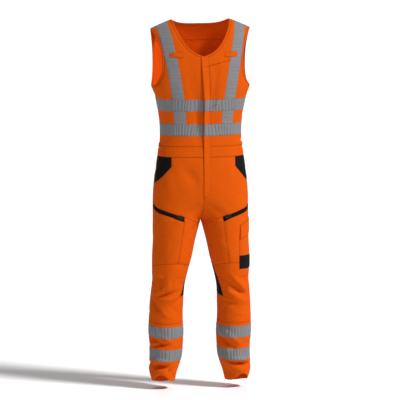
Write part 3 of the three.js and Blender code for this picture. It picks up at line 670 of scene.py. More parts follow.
def tape_group():
    """Thin slits across a tape, where it is cut so that it can stretch.

    Slit is 1 on a slit, Tone is how dark that slit is, Swell is the tape's rise between two slits.
    """
    group, start, end = new_group("tape_slits", {"Spacing": 0.0135, "Width": 0.07}, "Slit Tone Swell")
    _, along, aside = on_cloth(group)
    line = {"noise_dimensions": "1D"}
    drift = noise(group, line, W=along, Scale=9.0, Detail=0.0)
    slant = math_node(
        group, "MULTIPLY", math_node(group, "SUBTRACT", drift, 0.5), math_node(group, "MULTIPLY", aside, 0.7),
    )
    place = math_node(group, "DIVIDE", math_node(group, "ADD", along, slant), start["Spacing"])
    edges = {"voronoi_dimensions": "1D", "feature": "DISTANCE_TO_EDGE"}
    gap = add(group, "ShaderNodeTexVoronoi", edges, W=place, Scale=1.0, Randomness=0.85).outputs["Distance"]
    slit = map_range(group, gap, 0.015, start["Width"], 1.0, 0.0)
    tone = noise(group, line, W=place, Scale=1.7, Detail=0.0)
    shown = map_range(group, tone, 0.3, 0.6, 0.45, 1.0, "LINEAR")
    cut = math_node(group, "MULTIPLY", slit, shown)
    fill(group, end, Slit=cut, Tone=tone, Swell=map_range(group, gap, 0.0, 0.5))
    return group


WEAVE, RUMPLES, SLITS = weave_group(), rumple_group(), tape_group()


def cloth_material(name, dark, light, roughness, painted_glow=0.0, pitch=0.0011, rumple=0.5, sheen=0.0):
    material = new_finish(name, roughness, shine=0.06)
    tree = material.node_tree
    shader = tree.nodes["Principled BSDF"]
    rumples = add(tree, "ShaderNodeGroup", {"node_tree": RUMPLES}, Rumple=rumple).outputs
    woven = {"Pitch": pitch, "Strength": 0.25, "Normal": rumples["Normal"]}
    weave = add(tree, "ShaderNodeGroup", {"node_tree": WEAVE}, **woven).outputs
    dye = blend(tree, (*dark, 1), (*light, 1), weave["Unevenness"])
    # painted shade: the cloth is painted darker along each seam's line, where it rolls down into the seam
    seam_shade_amount = math_node(tree, "MULTIPLY", rumples["Seam"], 0.6)
    shade = blend(tree, dye, (0.25, 0.2, 0.2, 1), seam_shade_amount, "MULTIPLY")
    # painted light: the cloth's inner face is painted lighter and redder, for light that falls inside the
    # garment
    colour = blend(tree, shade, (1.3, 1.05, 1.2, 1), attribute(tree, "inside_painted_light"), "MULTIPLY")
    fill(tree, shader, Base_Color=colour, Normal=weave["Normal"], Sheen_Weight=sheen)
    # painted light: the cloth glows a little by itself, in its colour with its painted seam shade
    if painted_glow:
        fill(tree, shader, Emission_Color=shade, Emission_Strength=painted_glow)
    return material


def add_slits(material, red_slit, dark_slit, swell_strength=1.0, **cut):
    """Lets the cloth below a tape show through its slits, and swells the tape between them."""
    tree = material.node_tree
    shader = tree.nodes["Principled BSDF"]
    colour, normal = (shader.inputs[name].links[0].from_socket for name in ("Base Color", "Normal"))
    slits = add(tree, "ShaderNodeGroup", {"node_tree": SLITS}, **cut).outputs
    which = map_range(tree, slits["Tone"], 0.44, 0.56, way="LINEAR")
    below_tape = blend(tree, (*dark_slit, 1), (*red_slit, 1), which)
    mixed = blend(tree, colour, below_tape, math_node(tree, "MULTIPLY", slits["Slit"], 0.75))
    swell = bump(tree, swell_strength, 0.0016, slits["Swell"], Normal=normal)
    dent = bump(tree, 0.6, 0.0005, slits["Slit"], invert=True, Normal=swell)
    fill(tree, shader, Base_Color=mixed, Normal=dent)


# the orange cloth glows faintly by itself, which is painted light
ORANGE = cloth_material("orange_cloth", (0.53, 0.069, 0.0006), (0.59, 0.079, 0.0008), 0.8, painted_glow=0.06)
BLACK = cloth_material(
    "black_cloth", (0.004, 0.004, 0.0045), (0.008, 0.008, 0.0085), 0.85, pitch=0.0016, sheen=0.01,
)
GREY = {"dark": (0.165, 0.168, 0.176), "light": (0.215, 0.22, 0.23), "roughness": 0.5, "pitch": 0.0007}
TAPE_GREY = cloth_material("reflective_tape", **GREY)
add_slits(TAPE_GREY, (0.27, 0.07, 0.03), (0.06, 0.06, 0.065))
BRACE_GREY = cloth_material("brace_tape", **GREY)
add_slits(BRACE_GREY, (0.42, 0.08, 0.02), (0.14, 0.142, 0.148), 0.3, Spacing=0.0155, Width=0.09)
ZIP_BLACK = cloth_material(
    "zip_tape", (0.003, 0.0035, 0.004), (0.006, 0.0065, 0.007), 0.8, pitch=0.0016, rumple=0.2,
)
METAL = new_finish("dark_metal", 0.42, shine=0.2, colour=(0.006, 0.006, 0.007))
THREADS = {
    cloth: new_finish(name, 0.7, shine=0.1, colour=colour) for cloth, name, colour in (
        ("orange_cloth", "orange_thread", (0.36, 0.042, 0.001)),
        ("reflective_tape", "grey_thread", (0.12, 0.125, 0.14)),
        ("black_cloth", "black_thread", (0.02, 0.02, 0.022)),
        ("zip_tape", "zip_teeth", (0.012, 0.012, 0.013)),
    )
}
print("materials:", ", ".join(sorted(material.name for material in bpy.data.materials)))

# %% [markdown]
# ## Seam lines
# The same seam lines as the solid model's, as distances over the whole grid. Where two pieces share a
# line, one takes what is over it and the other what is under it.

# %% Rules
def above(line):
    return Z - line - GAP


def below(line):
    return line - Z - GAP


def outside(line):
    return across - line - GAP


def inside(line):
    return line - across - GAP


def past(field, start, end):
    """0 up to the start and 1 at the end; it goes on growing beyond the end."""
    return np.maximum(0, (field - start) / (end - start))


BACK_YOKE_SEAM = -94.0
CHEST_SEAM = Sizes(z=-192.0, rise=27.0, over=110.0)
HOOP_TOPS = {"upper": -327.0, "lower": -431.0}
BRACE = Sizes(middle=99.0, lean=66.0, start=-430.0, end=-19.0, power=1.4)
PLACKET = Sizes(edge=-2.0, lean=0.055, lean_from=-350.0, width=30.0, bottom=-742.0, round=30.0)
WAIST_TOP, WAIST_BOTTOM = -526.0, -571.0
HAND_POCKET = Sizes(edge=135.0, lean=62.0, lean_from=-611.0, bottom=-684.0)
ZIP = Sizes(inner=83.0, outer=205.0, low=-832.5, climb=40.0, upturn=26.0, curve=20)
ZIP_TAPE = Sizes(width=16.0, flare=2.5, tuck=2.2, tuck_to=104.0, tuck_fade=3.0)
FORK_END = CROTCH - 24
THIGH_SEAM = Sizes(lean=24.0, lean_from=-838.0, over=172.0)
KNEE_SEAM = Sizes(front=-1020.0, out=-1036.0, inner=-1046.0)
KNEE_POCKET = Sizes(bottom=-1267.0, sag=13.0)
INSERT = Sizes(top=-1018.0, bottom=-1156.0, fall=6.9, rise=0.4, side=125.0, side_slope=1.2)
LEG_TAPE_TILT = 7.0
LEG_TAPE_TOPS = {"upper": -1285.0, "lower": -1382.0}
HEM_ARCH = Sizes(rise=29.0, turn=55.0, wide=17.0)   # the hem is cut up in front
HEM_SAG = Sizes(turn=135.0, wide=30.0)   # and hangs lower behind

signed_x = points[..., 0]
front_half, back_half = from_side - GAP, -from_side - GAP
off_centre_front = np.where(Z > CROTCH, across, from_front) - GAP
off_centre_back = np.where(Z > CROTCH, across, from_back) - GAP
off_ridge = drop - GAP
is_front = (from_side > 0) | (drop == 0)


def armhole_line(narrow_x, narrow_z):
    """The armhole's edge: narrowest at one height, and wider up to the shoulder and down to the armpit."""
    up, down = past(Z, narrow_z, SHOULDER_TIP[1]), past(Z, narrow_z, ARMPIT[1])
    return narrow_x + (SHOULDER_TIP[0] - narrow_x) * up**2 + (ARMPIT[0] - narrow_x) * down**3


armhole_front, armhole_back = (armhole_line(*ARMHOLE_NARROW[half]) for half in ("front", "back"))
armhole_gap = np.where(is_front, armhole_front, armhole_back) - across
neck_share = across / NECK_X
neck_v = np.where(is_front, NECK_V, 0)
neck_round = np.where(is_front, NECK_DROP_FRONT - NECK_V, NECK_DROP_BACK)
neck_power = np.where(is_front, 3.0, 4.0)
neck_slope = (neck_v + neck_round * neck_power * neck_share ** (neck_power - 1)) / NECK_X
neck_level = -neck_v * (1 - neck_share) - neck_round * (1 - neck_share**neck_power)
neck_gap = (neck_level - Z) / np.hypot(1, neck_slope)
clear_of_bands = [armhole_gap - BAND - GAP, neck_gap - BAND - GAP]

chest_seam = CHEST_SEAM.z + CHEST_SEAM.rise * across / CHEST_SEAM.over
brace_line = BRACE.middle + BRACE.lean * past(Z, BRACE.start, BRACE.end) ** BRACE.power
placket_free = PLACKET.edge - np.maximum(0, Z - PLACKET.lean_from) * PLACKET.lean
placket_stitched = placket_free + PLACKET.width
pocket_spread = past(Z, HAND_POCKET.lean_from, HAND_POCKET.bottom)
hand_pocket_edge = HAND_POCKET.edge + HAND_POCKET.lean * pocket_spread
zip_out, zip_to_fork = past(across, ZIP.inner, ZIP.outer), past(across, ZIP.inner, 0)
zip_line = ZIP.low + ZIP.climb * zip_out + ZIP.upturn * zip_out ** ZIP.curve
zip_end = np.clip((ZIP_TAPE.tuck_to - across) / ZIP_TAPE.tuck_fade, 0, 1)
zip_half = (ZIP_TAPE.width + ZIP_TAPE.flare * zip_out) / 2 + ZIP_TAPE.tuck * zip_end
zip_top, zip_bottom = zip_line + zip_half, zip_line - zip_half
hip_line = zip_top + (FORK_END - zip_top) * zip_to_fork
thigh_seam = ZIP.inner + THIGH_SEAM.lean * (THIGH_SEAM.lean_from - Z) / THIGH_SEAM.over
knee_aside = (turn - 45) / 45
knee_rise = np.where(knee_aside > 0, KNEE_SEAM.out, KNEE_SEAM.inner) - KNEE_SEAM.front
knee_line = KNEE_SEAM.front + knee_rise * knee_aside**2
tilt = np.sin(np.radians(2 * turn))   # above 0 on the front of a leg and below 0 behind it
knee_pocket_line = KNEE_POCKET.bottom - KNEE_POCKET.sag * tilt
insert_forward = np.where(from_side > 0, turn, 0)
insert_outward = np.where(from_side > 0, 0, np.maximum(0, INSERT.side - turn) * INSERT.side_slope)
insert_depth = np.minimum(
    INSERT.top - INSERT.fall * insert_forward - insert_outward - Z,
    Z - INSERT.bottom + INSERT.rise * insert_forward - insert_outward,
)
hem_arch = HEM_ARCH.rise * hump(turn - HEM_ARCH.turn, HEM_ARCH.wide)
hem_line = HEM + hem_arch - HEM_DIP * hump(turn - HEM_SAG.turn, HEM_SAG.wide)
print("seam lines laid over the grid")

# %% [markdown]
# ## Sewn pieces
# Each piece is cut, thickened and given its finish and its map.

# %% Piece maker
TRIANGLES = {}   # how many each sewn piece has
ROWS = {}   # the rows of stitches, by the cloth that they're sewn on
LOOKS = {"orange_cloth": ORANGE, "black_cloth": BLACK, "reflective_tape": TAPE_GREY, "zip_tape": ZIP_BLACK}
SIDES = {"left": (1,), "right": (-1,)}
BOTH = (1, -1)
MAP_FRONT, MAP_BACK, MAP_DOWN = side_sign * from_front, side_sign * from_back, -drop
LAYER_LOW = {-1: -0.8, 0: 0.0, 1: 1.1, 2: 1.75}
LAYER_THICK = {-1: 0.6, 0: 1.0, 1: 0.6, 2: 0.6}
ROW_END = 0.9   # a row of stitches stops this short of an edge that it runs into
CLEAR = 20.0   # this far in, a piece has its full height


def sew(node, sides, rules, look="orange_cloth", layer=0, run=MAP_FRONT, fall=MAP_DOWN, thick=None, lift=0.0,
        strip=None, seams=(), steps=(), shape=None, rows=()):
    """One sewn piece, which takes the place of the solid model's node of the same name.

    Rows are its stitching: each is which of the rules it follows, and how far in from those edges.
    """
    rules = [np.broadcast_to(rule, SHAPE) for rule in rules]
    corners, triangles, deep = cut_sheet(rules, sides, run, fall, lift, seams, steps)
    if shape:
        corners[:, LIFT] += shape(corners)
    low, thick = LAYER_LOW[layer], thick or LAYER_THICK[layer]
    obj = wall(node + "_cloth", corners, triangles, deep, low, thick)
    for which, inset in rows:
        line = np.minimum.reduce([rules[r] for r in which]) - inset
        lay_row(look, sides, rules, line, lift + top_height(inset, low, thick))
    obj.data.materials.append(LOOKS[look])
    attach(obj, "garment")
    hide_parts(node)
    TRIANGLES[node] = 2 * len(triangles)
    return obj


def lay_row(look, sides, rules, line, height):
    """One row of stitches: short edges where a field is 0, inside the rules."""
    values = with_fields(line, height, *rules)
    place, out, off, high, ruled = slice(0, 3), slice(3, 6), 6, slice(7, 8), slice(8, None)
    facets = FACETS[np.isin(FACET_SIDE, sides)]
    over = values[facets, off] >= 0
    crossed = over.any(1) & ~over.all(1)
    facets, over = facets[crossed], over[crossed]
    row, k = np.nonzero(over != np.roll(over, -1, axis=1))
    ends = np.sort(np.stack([facets[row, k], facets[row, (k + 1) % 3]], 1), axis=1)
    keys, where = np.unique(ends, axis=0, return_inverse=True)
    a, b = values[keys[:, 0]], values[keys[:, 1]]
    found = a + (b - a) * (a[:, off] / (a[:, off] - b[:, off]))[:, None]
    edges = where.reshape(-1, 2)
    edges = edges[(found[:, ruled].min(1) > ROW_END)[edges].all(1)]
    ROWS.setdefault(look, []).append((found[:, place] + found[:, out] * found[:, high], found[:, out], edges))


def sew_pair(label, rules, **making):
    """The same piece on each side."""
    return [sew(f"{label}_{side_name}", sides, rules, **making) for side_name, sides in SIDES.items()]


vest_front = [front_half, off_ridge, off_centre_front, *clear_of_bands, above(WAIST_TOP)]
sew("front_right", SIDES["right"], vest_front, rows=[([5], 2)])
sew("front_left_yoke", SIDES["left"], [*vest_front, above(chest_seam)], rows=[([6], 2)])
sew("front_left", SIDES["left"], [*vest_front, below(chest_seam)], rows=[([5], 2)])
back_yoke = [back_half, off_ridge, *clear_of_bands, above(BACK_YOKE_SEAM)]
sew("back_yoke", BOTH, back_yoke, run=MAP_BACK, rows=[([4], 2), ([4], 7)])
back_body = [back_half, *clear_of_bands, above(WAIST_TOP), below(BACK_YOKE_SEAM)]
sew("back_body", BOTH, back_body, run=MAP_BACK, rows=[([3], 2)])
print("vest panels:", ", ".join(TRIANGLES))

# %% [markdown]
# ## Bands, tapes and the placket
# Tapes are laid on in the order in which they're sewn: braces first, then the fly placket and the chest
# pocket, then the hoops over them. A tape that crosses another is lifted over it, so nothing cuts in.

# %% Vest trimmings
NECK_BAND_END = Sizes(low=-200.0, out=150.0)
ARMHOLE_BAND_END = Sizes(inner=150.0, low=-300.0, high=-20.0)
STRIP_REACH = 12.0   # how far each shoulder strip comes down on either side of the ridge
FLARE = Sizes(z=(-742, -650, -560, -480, -420, -350, -280, -200, -150), out=(1, 2, 3, 7, 13, 13, 10, 6, 1))
FLARE_WIDE = 13.0
FRONT_ZIP = Sizes(half=13.0, bottom=-730.0)
POCKET = Sizes(edge=66.0, lean=0.09, lean_from=-186.0, foot=-346.0, slope=0.53, corner=54.0)
POCKET_RISE, POCKET_RISE_WIDE = 2.2, 8.0
LOOP = Sizes(inner=89.0, out=143.0, low=-151.0, high=-131.0)
OVER_BRACE, OVER_EDGE, HOOP_EASE = 0.6, 1.2, 0.65   # how far one layer raises another
BRACE_TUCK = 4.0   # the braces end this far up behind the lower hoop
NEAR_PIECE = (-10.0, -4.5)


def on_band(gap):
    return [gap, BAND - gap]


def ramp(field, low, high):
    """0 below low, 1 above high, and smooth between them."""
    share = np.clip((field - low) / (high - low), 0, 1)
    return share * share * (3 - 2 * share)


def under(rules):
    """1 over the piece with these rules, and 0 a little way outside it."""
    return ramp(np.minimum.reduce([np.broadcast_to(rule, SHAPE) for rule in rules]), *NEAR_PIECE)


def level_run(off_line, half):
    """How far down a line on one half of the form each level comes, so that slits across it lie level."""
    at = np.where(half > 0, off_line, np.inf).argmin(-1)[..., None]
    levels, drops = (np.take_along_axis(field, at, -1)[0, :, 0] for field in (Z, drop))
    order = levels.argsort()
    level = np.interp(Z, levels[order], drops[order])
    return drop + (level - drop) * ramp(drop, 15.0, 70.0)


def round_run(field, top):
    """How far round the form its middle each tape is, so that slits across it stand upright."""
    middle = np.abs(Z[0, :, 0] - top + TAPE / 2).argmin()
    return np.broadcast_to(field[:, middle:middle + 1], SHAPE)


ends = [above(NECK_BAND_END.low), off_centre_front, inside(NECK_BAND_END.out)]
band = {"thick": 1.6, "strip": BAND}
sew_pair("neck_band", [*on_band(neck_gap), *ends], rows=[([0], 1.6), ([1], 1.6)], **band)
ends = [outside(ARMHOLE_BAND_END.inner), above(ARMHOLE_BAND_END.low), below(ARMHOLE_BAND_END.high)]
sew_pair("armhole_band", [*on_band(armhole_gap), *ends], rows=[([1], 1.6)], **band)

brace_end = HOOP_TOPS["lower"] - TAPE + BRACE_TUCK
brace = [inside(brace_line + TAPE / 2), outside(brace_line - TAPE / 2), above(brace_end)]
off_brace = np.abs(across - brace_line)
along_brace = np.where(from_side > 0, -level_run(off_brace, front_half), level_run(off_brace, back_half))
taped = {"look": "reflective_tape", "rows": [([0], 2), ([1], 2)]}
for tape in sew_pair("brace", brace, layer=1, run=along_brace, fall=across - brace_line, **taped):
    tape.data.materials[0] = BRACE_GREY
sew_pair(
    "shoulder_strip", [STRIP_REACH - drop, neck_gap - 1, armhole_gap - 1], look="reflective_tape", layer=2,
    run=side_sign * across, fall=along_brace, lift=0.5 * (under(brace) - 1),
)

flare = np.interp(Z, FLARE.z, FLARE.out) * hump(signed_x - placket_free, FLARE_WIDE)
flare = flare * (from_side > 0)
placket = [
    front_half, placket_stitched - signed_x, signed_x - placket_free, above(PLACKET.bottom), neck_gap - 1,
]
corner_in = np.maximum(0, PLACKET.round - (placket_stitched - signed_x))
corner_down = np.maximum(0, PLACKET.bottom + PLACKET.round - Z)
sew(
    "placket", BOTH, [*placket, PLACKET.round - np.hypot(corner_in, corner_down)], layer=1, thick=1.3,
    lift=OVER_BRACE * under(brace) + flare, seams=[(Z - chest_seam, -1.0)], rows=[([1, 3, 5], 2)],
)
front_zip = [front_half, FRONT_ZIP.half - from_front, above(FRONT_ZIP.bottom), neck_gap - BAND]
sew("front_zip", BOTH, front_zip, "zip_tape", -1)

pocket_edge = POCKET.edge + POCKET.lean * (Z - POCKET.lean_from)
pocket_foot = POCKET.foot - POCKET.slope * (POCKET.corner - across)
by_placket = signed_x - placket_stitched - SEAM
pocket = [front_half, by_placket, inside(pocket_edge), below(chest_seam), above(pocket_foot)]
pocket_rise = POCKET_RISE * hump(inside(pocket_edge), POCKET_RISE_WIDE)
sew(
    "chest_pocket", SIDES["left"], pocket, layer=1, thick=1.2, lift=OVER_BRACE * under(brace) + pocket_rise,
    rows=[([3], 2), ([2], 6)],
)
loop = [front_half, outside(LOOP.inner), inside(LOOP.out), above(LOOP.low), below(LOOP.high)]
loop_rise = 0.2 + 1.4 * hump(across - (LOOP.inner + LOOP.out) / 2, 14)
loop_rows = [([1], 3), ([2], 3)]
sew_pair("chest_loop", loop, layer=2, thick=1.3, lift=loop_rise, strip=LOOP.high - LOOP.low, rows=loop_rows)

on_left = side_sign > 0
under_placket, under_pocket = under(placket), under(pocket) * on_left
over_front = np.maximum.reduce([under_placket * on_left, under_pocket, under(brace)])
thick_below = np.maximum(OVER_EDGE * np.maximum(under_placket, under_pocket), 0.1 * under(brace))
hoop_lift = HOOP_EASE * (over_front - 1) + thick_below + flare * on_left + pocket_rise * under_pocket
for label, top in HOOP_TOPS.items():
    hoop = [from_front - GAP, below(top), above(top - TAPE)]
    sew(
        f"{label}_hoop", BOTH, hoop, "reflective_tape", 2, round_run(MAP_BACK, top), Z - top + TAPE / 2,
        lift=hoop_lift, rows=[([1], 2), ([2], 2), ([0], 2)],
    )
# the side and the foot of the chest pocket show as a welt over the upper hoop
on_hoop = [front_half, below(HOOP_TOPS["upper"]), above(HOOP_TOPS["upper"] - TAPE)]
welt_height = hoop_lift + top_height(CLEAR, LAYER_LOW[2], LAYER_THICK[2]) - 0.2
foot_ends = [across - 3, POCKET.corner + 1 - across]
lay_row("welt", SIDES["left"], [*on_hoop, *foot_ends], Z - pocket_foot, welt_height)
lay_row("welt", SIDES["left"], [*on_hoop, above(POCKET.foot - 4)], pocket_edge - across, welt_height)
print("trimmings:", len(TRIANGLES), "pieces so far")

# %% [markdown]
# ## Waist, hips, seat and legs
# The waistband is drawn in by elastic at the sides and back, so its cloth stands in small upright
# gathers there. Below it come the hips with their pockets, the thighs, knees and shins, and the backs.

# %% Trousers
DART_LEVEL = -1083.0
DARTS = ((8.0, 36.0), (68.0, 88.0))   # how far round each knee dart runs
CATCH = Sizes(z=-1172.0, slope=-0.8, start=14.0, end=40.0, bend=30.0)
GATHER_STEP, GATHER_END = 1.5, 480
INSERT_WIDTH, HEM_TURNED = 95, 18


def gathered(corners):
    """Small upright gathers over the elastic at the sides and back."""
    run, z = np.abs(corners[:, MAP][:, 0]), corners[:, 2]
    drift = 2.1 * np.sin(run / 23) + 1.4 * np.sin(run / 9.7 + 1.3)
    size = 0.75 + 0.3 * np.sin(run / 31 + 2) + 0.25 * np.sin(run / 13.1)
    middle = hump(z - (WAIST_TOP + WAIST_BOTTOM) / 2, 15)
    aside = ramp(np.abs(corners[:, 0]), 110, 160) * (corners[:, 1] < WIDEST_Y) + (corners[:, 1] >= WIDEST_Y)
    return np.sin((run + drift) / 1.9) * size * middle * aside


waistband = [below(WAIST_TOP), above(WAIST_BOTTOM)]
from_middle = np.where(from_side > 0, from_front, from_back) * side_sign
elastic = {
    "steps": [(from_middle, np.arange(-GATHER_END, GATHER_END, GATHER_STEP))], "shape": gathered,
    "strip": WAIST_TOP - WAIST_BOTTOM, "rows": [([-1], 2), ([-2], 2)],
}
sew("waistband_back", BOTH, [back_half, *waistband], run=MAP_BACK, **elastic)

in_insert, off_insert = insert_depth - GAP, -insert_depth - GAP
knee_middle = (INSERT.top + INSERT.bottom) / 2
past_darts = np.minimum.reduce([np.maximum(first - turn, turn - last) * TURN_LENGTH for first, last in DARTS])
catch_line = CATCH.z + CATCH.slope * np.minimum(turn - CATCH.bend, 0)
past_catch = np.maximum(CATCH.start - turn, turn - CATCH.end) * TURN_LENGTH
darts = [(Z - DART_LEVEL, past_darts), (Z - catch_line, past_catch)]
zip_dip, zip_steps = -0.5 * hump(Z - zip_line, 2.2), [(Z - zip_line, [-4.0, -2.0, 0.0, 2.0, 4.0])]
front, back = [front_half, off_centre_front], [back_half, off_centre_back]
LEG_PIECES = {
    "waistband_front": ([*front, *waistband], elastic),
    "hand_pocket": (
        [front_half, below(WAIST_BOTTOM), outside(hand_pocket_edge), above(HAND_POCKET.bottom)],
        {"look": "black_cloth", "lift": -0.7 * ramp(outside(hand_pocket_edge), 12, 0)},
    ),
    "hip_front": (
        [*front, below(WAIST_BOTTOM), inside(hand_pocket_edge), above(hip_line)],
        {"rows": [([2], 2), ([3], 2), ([3], 8), ([4], 2), ([4], 8)]},
    ),
    "thigh_zip": (
        [front_half, outside(thigh_seam), below(hip_line), above(zip_bottom)],
        {"look": "zip_tape", "strip": ZIP_TAPE.width, "lift": zip_dip, "steps": zip_steps},
    ),
    "thigh_inner": (
        [*front, below(hip_line), inside(thigh_seam), above(knee_line), off_insert], {"rows": [([3], 2)]},
    ),
    "thigh_outer": (
        [front_half, below(zip_bottom), outside(thigh_seam), above(knee_line)],
        {"rows": [([1], 2), ([2], 7)]},
    ),
    "knee_panel": (
        [*front, below(knee_line), above(knee_pocket_line), off_insert],
        {"seams": darts, "rows": [([2], 2), ([3], 2), ([3], 8)]},
    ),
    "knee_insert": (
        [in_insert], {"look": "black_cloth", "run": MAP_BACK, "strip": INSERT_WIDTH, "rows": [([0], 2)]},
    ),
    "shin_front": ([*front, below(knee_pocket_line), above(hem_line)], {"rows": [([3], HEM_TURNED)]}),
    "seat_back": ([*back, below(WAIST_BOTTOM), above(knee_middle), off_insert], {"run": MAP_BACK}),
    "calf_back": (
        [*back, below(knee_middle), above(hem_line), off_insert],
        {"run": MAP_BACK, "rows": [([3], HEM_TURNED)]},
    ),
}
for place, top in LEG_TAPE_TOPS.items():
    upper_edge = top - LEG_TAPE_TILT * tilt
    along, aside = round_run(MAP_FRONT, top), Z - upper_edge + TAPE / 2
    leg_tape = [below(upper_edge), above(upper_edge - TAPE)]
    LEG_PIECES[f"leg_tape_{place}"] = (leg_tape, {"layer": 1, "run": along, "fall": aside, **taped})
for side_name, sides in SIDES.items():
    for label, (rules, making) in LEG_PIECES.items():
        sew(f"{label}_{side_name}", sides, rules, **making)
print("with the trousers:", len(TRIANGLES), "pieces")

# %% [markdown]
# ## Cargo pocket
# A patch pocket on the wearer's left thigh, with a flap over its mouth and a black patch on its foot.

# %% Cargo pocket
CARGO = Sizes(
    front=60.5, lean=0.036, back=118.0, turn_length=3.1, width=178.0, mouth=-872.0, rise=0.9, foot=-1047.0,
    flap_top=-861.0, flap_foot=-920.0, patch_top=-990.0,
)
past_front = turn - CARGO.front - CARGO.lean * (Z - CARGO.mouth)
cargo_sides = [past_front * CARGO.turn_length, (CARGO.back - turn) * CARGO.turn_length]
flap_rise = CARGO.rise * (turn - CARGO.front)
edges = [0, 1, 3]
sew(
    "cargo_pocket", SIDES["left"], [*cargo_sides, below(CARGO.mouth + flap_rise), above(CARGO.foot)],
    layer=1, thick=1.4, strip=CARGO.width, rows=[(edges, 2), (edges, 8)],
)
flap = [*cargo_sides, below(CARGO.flap_top + flap_rise), above(CARGO.flap_foot + flap_rise)]
flap_open = ramp(flap[2], 0, 55) * hump(cargo_sides[0], 18)
sew(
    "cargo_flap", SIDES["left"], flap, layer=2, thick=1.4, lift=0.9 + 3.2 * flap_open, strip=CARGO.width,
    rows=[(edges, 2), ([2], 2), ([2], 8)],
)
patch = [*cargo_sides, below(CARGO.patch_top), above(CARGO.foot)]
sew(
    "cargo_patch", SIDES["left"], patch, "black_cloth", 2, thick=0.9, lift=0.8, strip=CARGO.width,
    rows=[([0, 1, 2, 3], 2)],
)
print("all cloth:", len(TRIANGLES), "pieces,", sum(TRIANGLES.values()), "triangles")

# %% [markdown]
# ## Stitches and zip teeth
# Rows of stitches were laid as thin lines while the pieces were cut. One geometry node group turns a
# line into many small equal parts: it walks the line in even steps and sets one part on each, turned
# along the line and away from the cloth. The zip's teeth are made by the same group.

# %% Stitches and zip teeth
STITCH = {"Spacing": 0.0042, "Size": (0.0034, 0.0008, 0.0006)}
TOOTH = {"Spacing": 0.0018, "Size": (0.0011, 0.0044, 0.0014)}
WELT = {"Spacing": 0.0012, "Size": (0.003, 0.0022, 0.0008)}
TOOTH_SINK, TEETH_END = 0.3, 18   # millimetres


def rows_group():
    """Walks a line in even steps and sets a small part on each."""
    group = bpy.data.node_groups.new("small_parts_in_rows", "GeometryNodeTree")
    sockets = {"Lines": "Geometry", "Spacing": "Float", "Size": "Vector", "Material": "Material"}
    for name, kind in sockets.items():
        group.interface.new_socket(name=name, in_out="INPUT", socket_type=f"NodeSocket{kind}")
    group.interface.new_socket(name="Parts", in_out="OUTPUT", socket_type="NodeSocketGeometry")
    start, end = group.nodes.new("NodeGroupInput").outputs, group.nodes.new("NodeGroupOutput")
    curve = add(group, "GeometryNodeMeshToCurve", Mesh=start["Lines"]).outputs["Curve"]
    by_length = {"mode": "LENGTH"}
    even = add(group, "GeometryNodeResampleCurve", by_length, Curve=curve, Length=start["Spacing"])
    up = add(group, "GeometryNodeInputNamedAttribute", {"data_type": "FLOAT_VECTOR"}, Name="up")
    tangent = group.nodes.new("GeometryNodeInputTangent")
    turned = add(
        group, "FunctionNodeAxesToRotation", {"primary_axis": "Z", "secondary_axis": "X"},
        Primary_Axis=up.outputs["Attribute"], Secondary_Axis=tangent.outputs["Tangent"],
    )
    ball = add(group, "GeometryNodeMeshIcoSphere", Radius=0.5, Subdivisions=1)
    part = add(group, "GeometryNodeTransform", Geometry=ball.outputs["Mesh"], Scale=start["Size"])
    placed = add(
        group, "GeometryNodeInstanceOnPoints", Points=even.outputs["Curve"],
        Instance=part.outputs["Geometry"], Rotation=turned.outputs["Rotation"],
    )
    real = add(group, "GeometryNodeRealizeInstances", Geometry=placed.outputs["Instances"])
    smooth = add(group, "GeometryNodeSetShadeSmooth", Geometry=real.outputs["Geometry"])
    finish = {"Geometry": smooth.outputs["Geometry"], "Material": start["Material"]}
    fill(group, end, Parts=add(group, "GeometryNodeSetMaterial", **finish).outputs["Geometry"])
    return group


ROWS_GROUP = rows_group()


def bake(piece):
    """Gives a piece the shape that its modifier makes, and takes the modifier away."""
    graph = bpy.context.evaluated_depsgraph_get()
    baked = bpy.data.meshes.new_from_object(piece.evaluated_get(graph))
    piece.modifiers.clear()
    piece.data = baked
    return baked


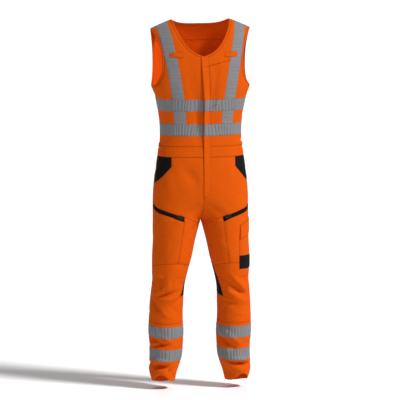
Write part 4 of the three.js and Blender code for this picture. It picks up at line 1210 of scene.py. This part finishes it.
def parts_in_rows(name, lines, material, part):
    """A piece made of small parts along lines; each line is its places, outward directions and edges."""
    counts = np.cumsum([0] + [len(places) for places, _, _ in lines])
    places = np.concatenate([places for places, _, _ in lines]) * MM
    ups = np.concatenate([ups for _, ups, _ in lines])
    edges = np.concatenate([edges + first for (_, _, edges), first in zip(lines, counts)])
    mesh = bpy.data.meshes.new(name)
    mesh.from_pydata(places.tolist(), edges.tolist(), [])
    mesh.attributes.new("up", "FLOAT_VECTOR", "POINT").data.foreach_set("vector", ups.ravel())
    piece = add_object(name, mesh)
    modifier = piece.modifiers.new("rows", "NODES")
    modifier.node_group = ROWS_GROUP
    values = {"Material": material, **part}
    for item in ROWS_GROUP.interface.items_tree:
        if item.in_out == "INPUT" and item.name in values:
            modifier[item.identifier] = values[item.name]
    baked = bake(piece)
    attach(piece, "garment")
    return len(baked.polygons)


parts_in_rows("pocket_welt", ROWS.pop("welt"), ORANGE, WELT)
for look, lines in ROWS.items():
    faces = parts_in_rows(f"{look}_stitches", lines, THREADS[look], STITCH)
    print(look, "stitches:", faces, "faces")
teeth_height = top_height(CLEAR, LAYER_LOW[0], LAYER_THICK[0]) - TOOTH_SINK
for side_name, sides in SIDES.items():
    ROWS.clear()
    lay_row("zip_tape", sides, [front_half, outside(thigh_seam) - TEETH_END], Z - zip_line, teeth_height)
    teeth = ROWS["zip_tape"]
    parts_in_rows(f"thigh_zip_{side_name}_teeth", teeth, THREADS["zip_tape"], TOOTH)

# %% [markdown]
# ## Sliders and pull tabs
# Each thigh zip is closed, with its slider near the inner end. The slider stays where it is; its tab
# turns about the pin between the slider's two cheeks, so the tab rides on a body of its own. Both take
# their place from the solid model's parts and only get rounded edges and a finish here.

# %% Round the metal parts
def rounded_copy(node, body, width):
    """A solid part's own shape as a new piece, with its edges rounded."""
    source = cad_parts[node]
    mesh = source.data.copy()
    mesh.transform(source.matrix_world)
    piece = add_object(node + "_metal", mesh)
    bevel = piece.modifiers.new("rounding", "BEVEL")
    bevel.width, bevel.segments, bevel.limit_method = width, 2, "ANGLE"
    baked = bake(piece)
    baked.name = node + "_metal"
    baked.materials.clear()
    baked.materials.append(METAL)
    baked.polygons.foreach_set("use_smooth", [True] * len(baked.polygons))
    baked.set_sharp_from_angle(angle=math.radians(40))
    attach(piece, body)
    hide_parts(node)


for side_name in SIDES:
    rounded_copy(f"zip_slider_{side_name}", "garment", width=0.0005)
    rounded_copy(f"pull_tab_{side_name}", f"{side_name}_pull", width=0.0004)
print("two sliders and two pull tabs rounded")
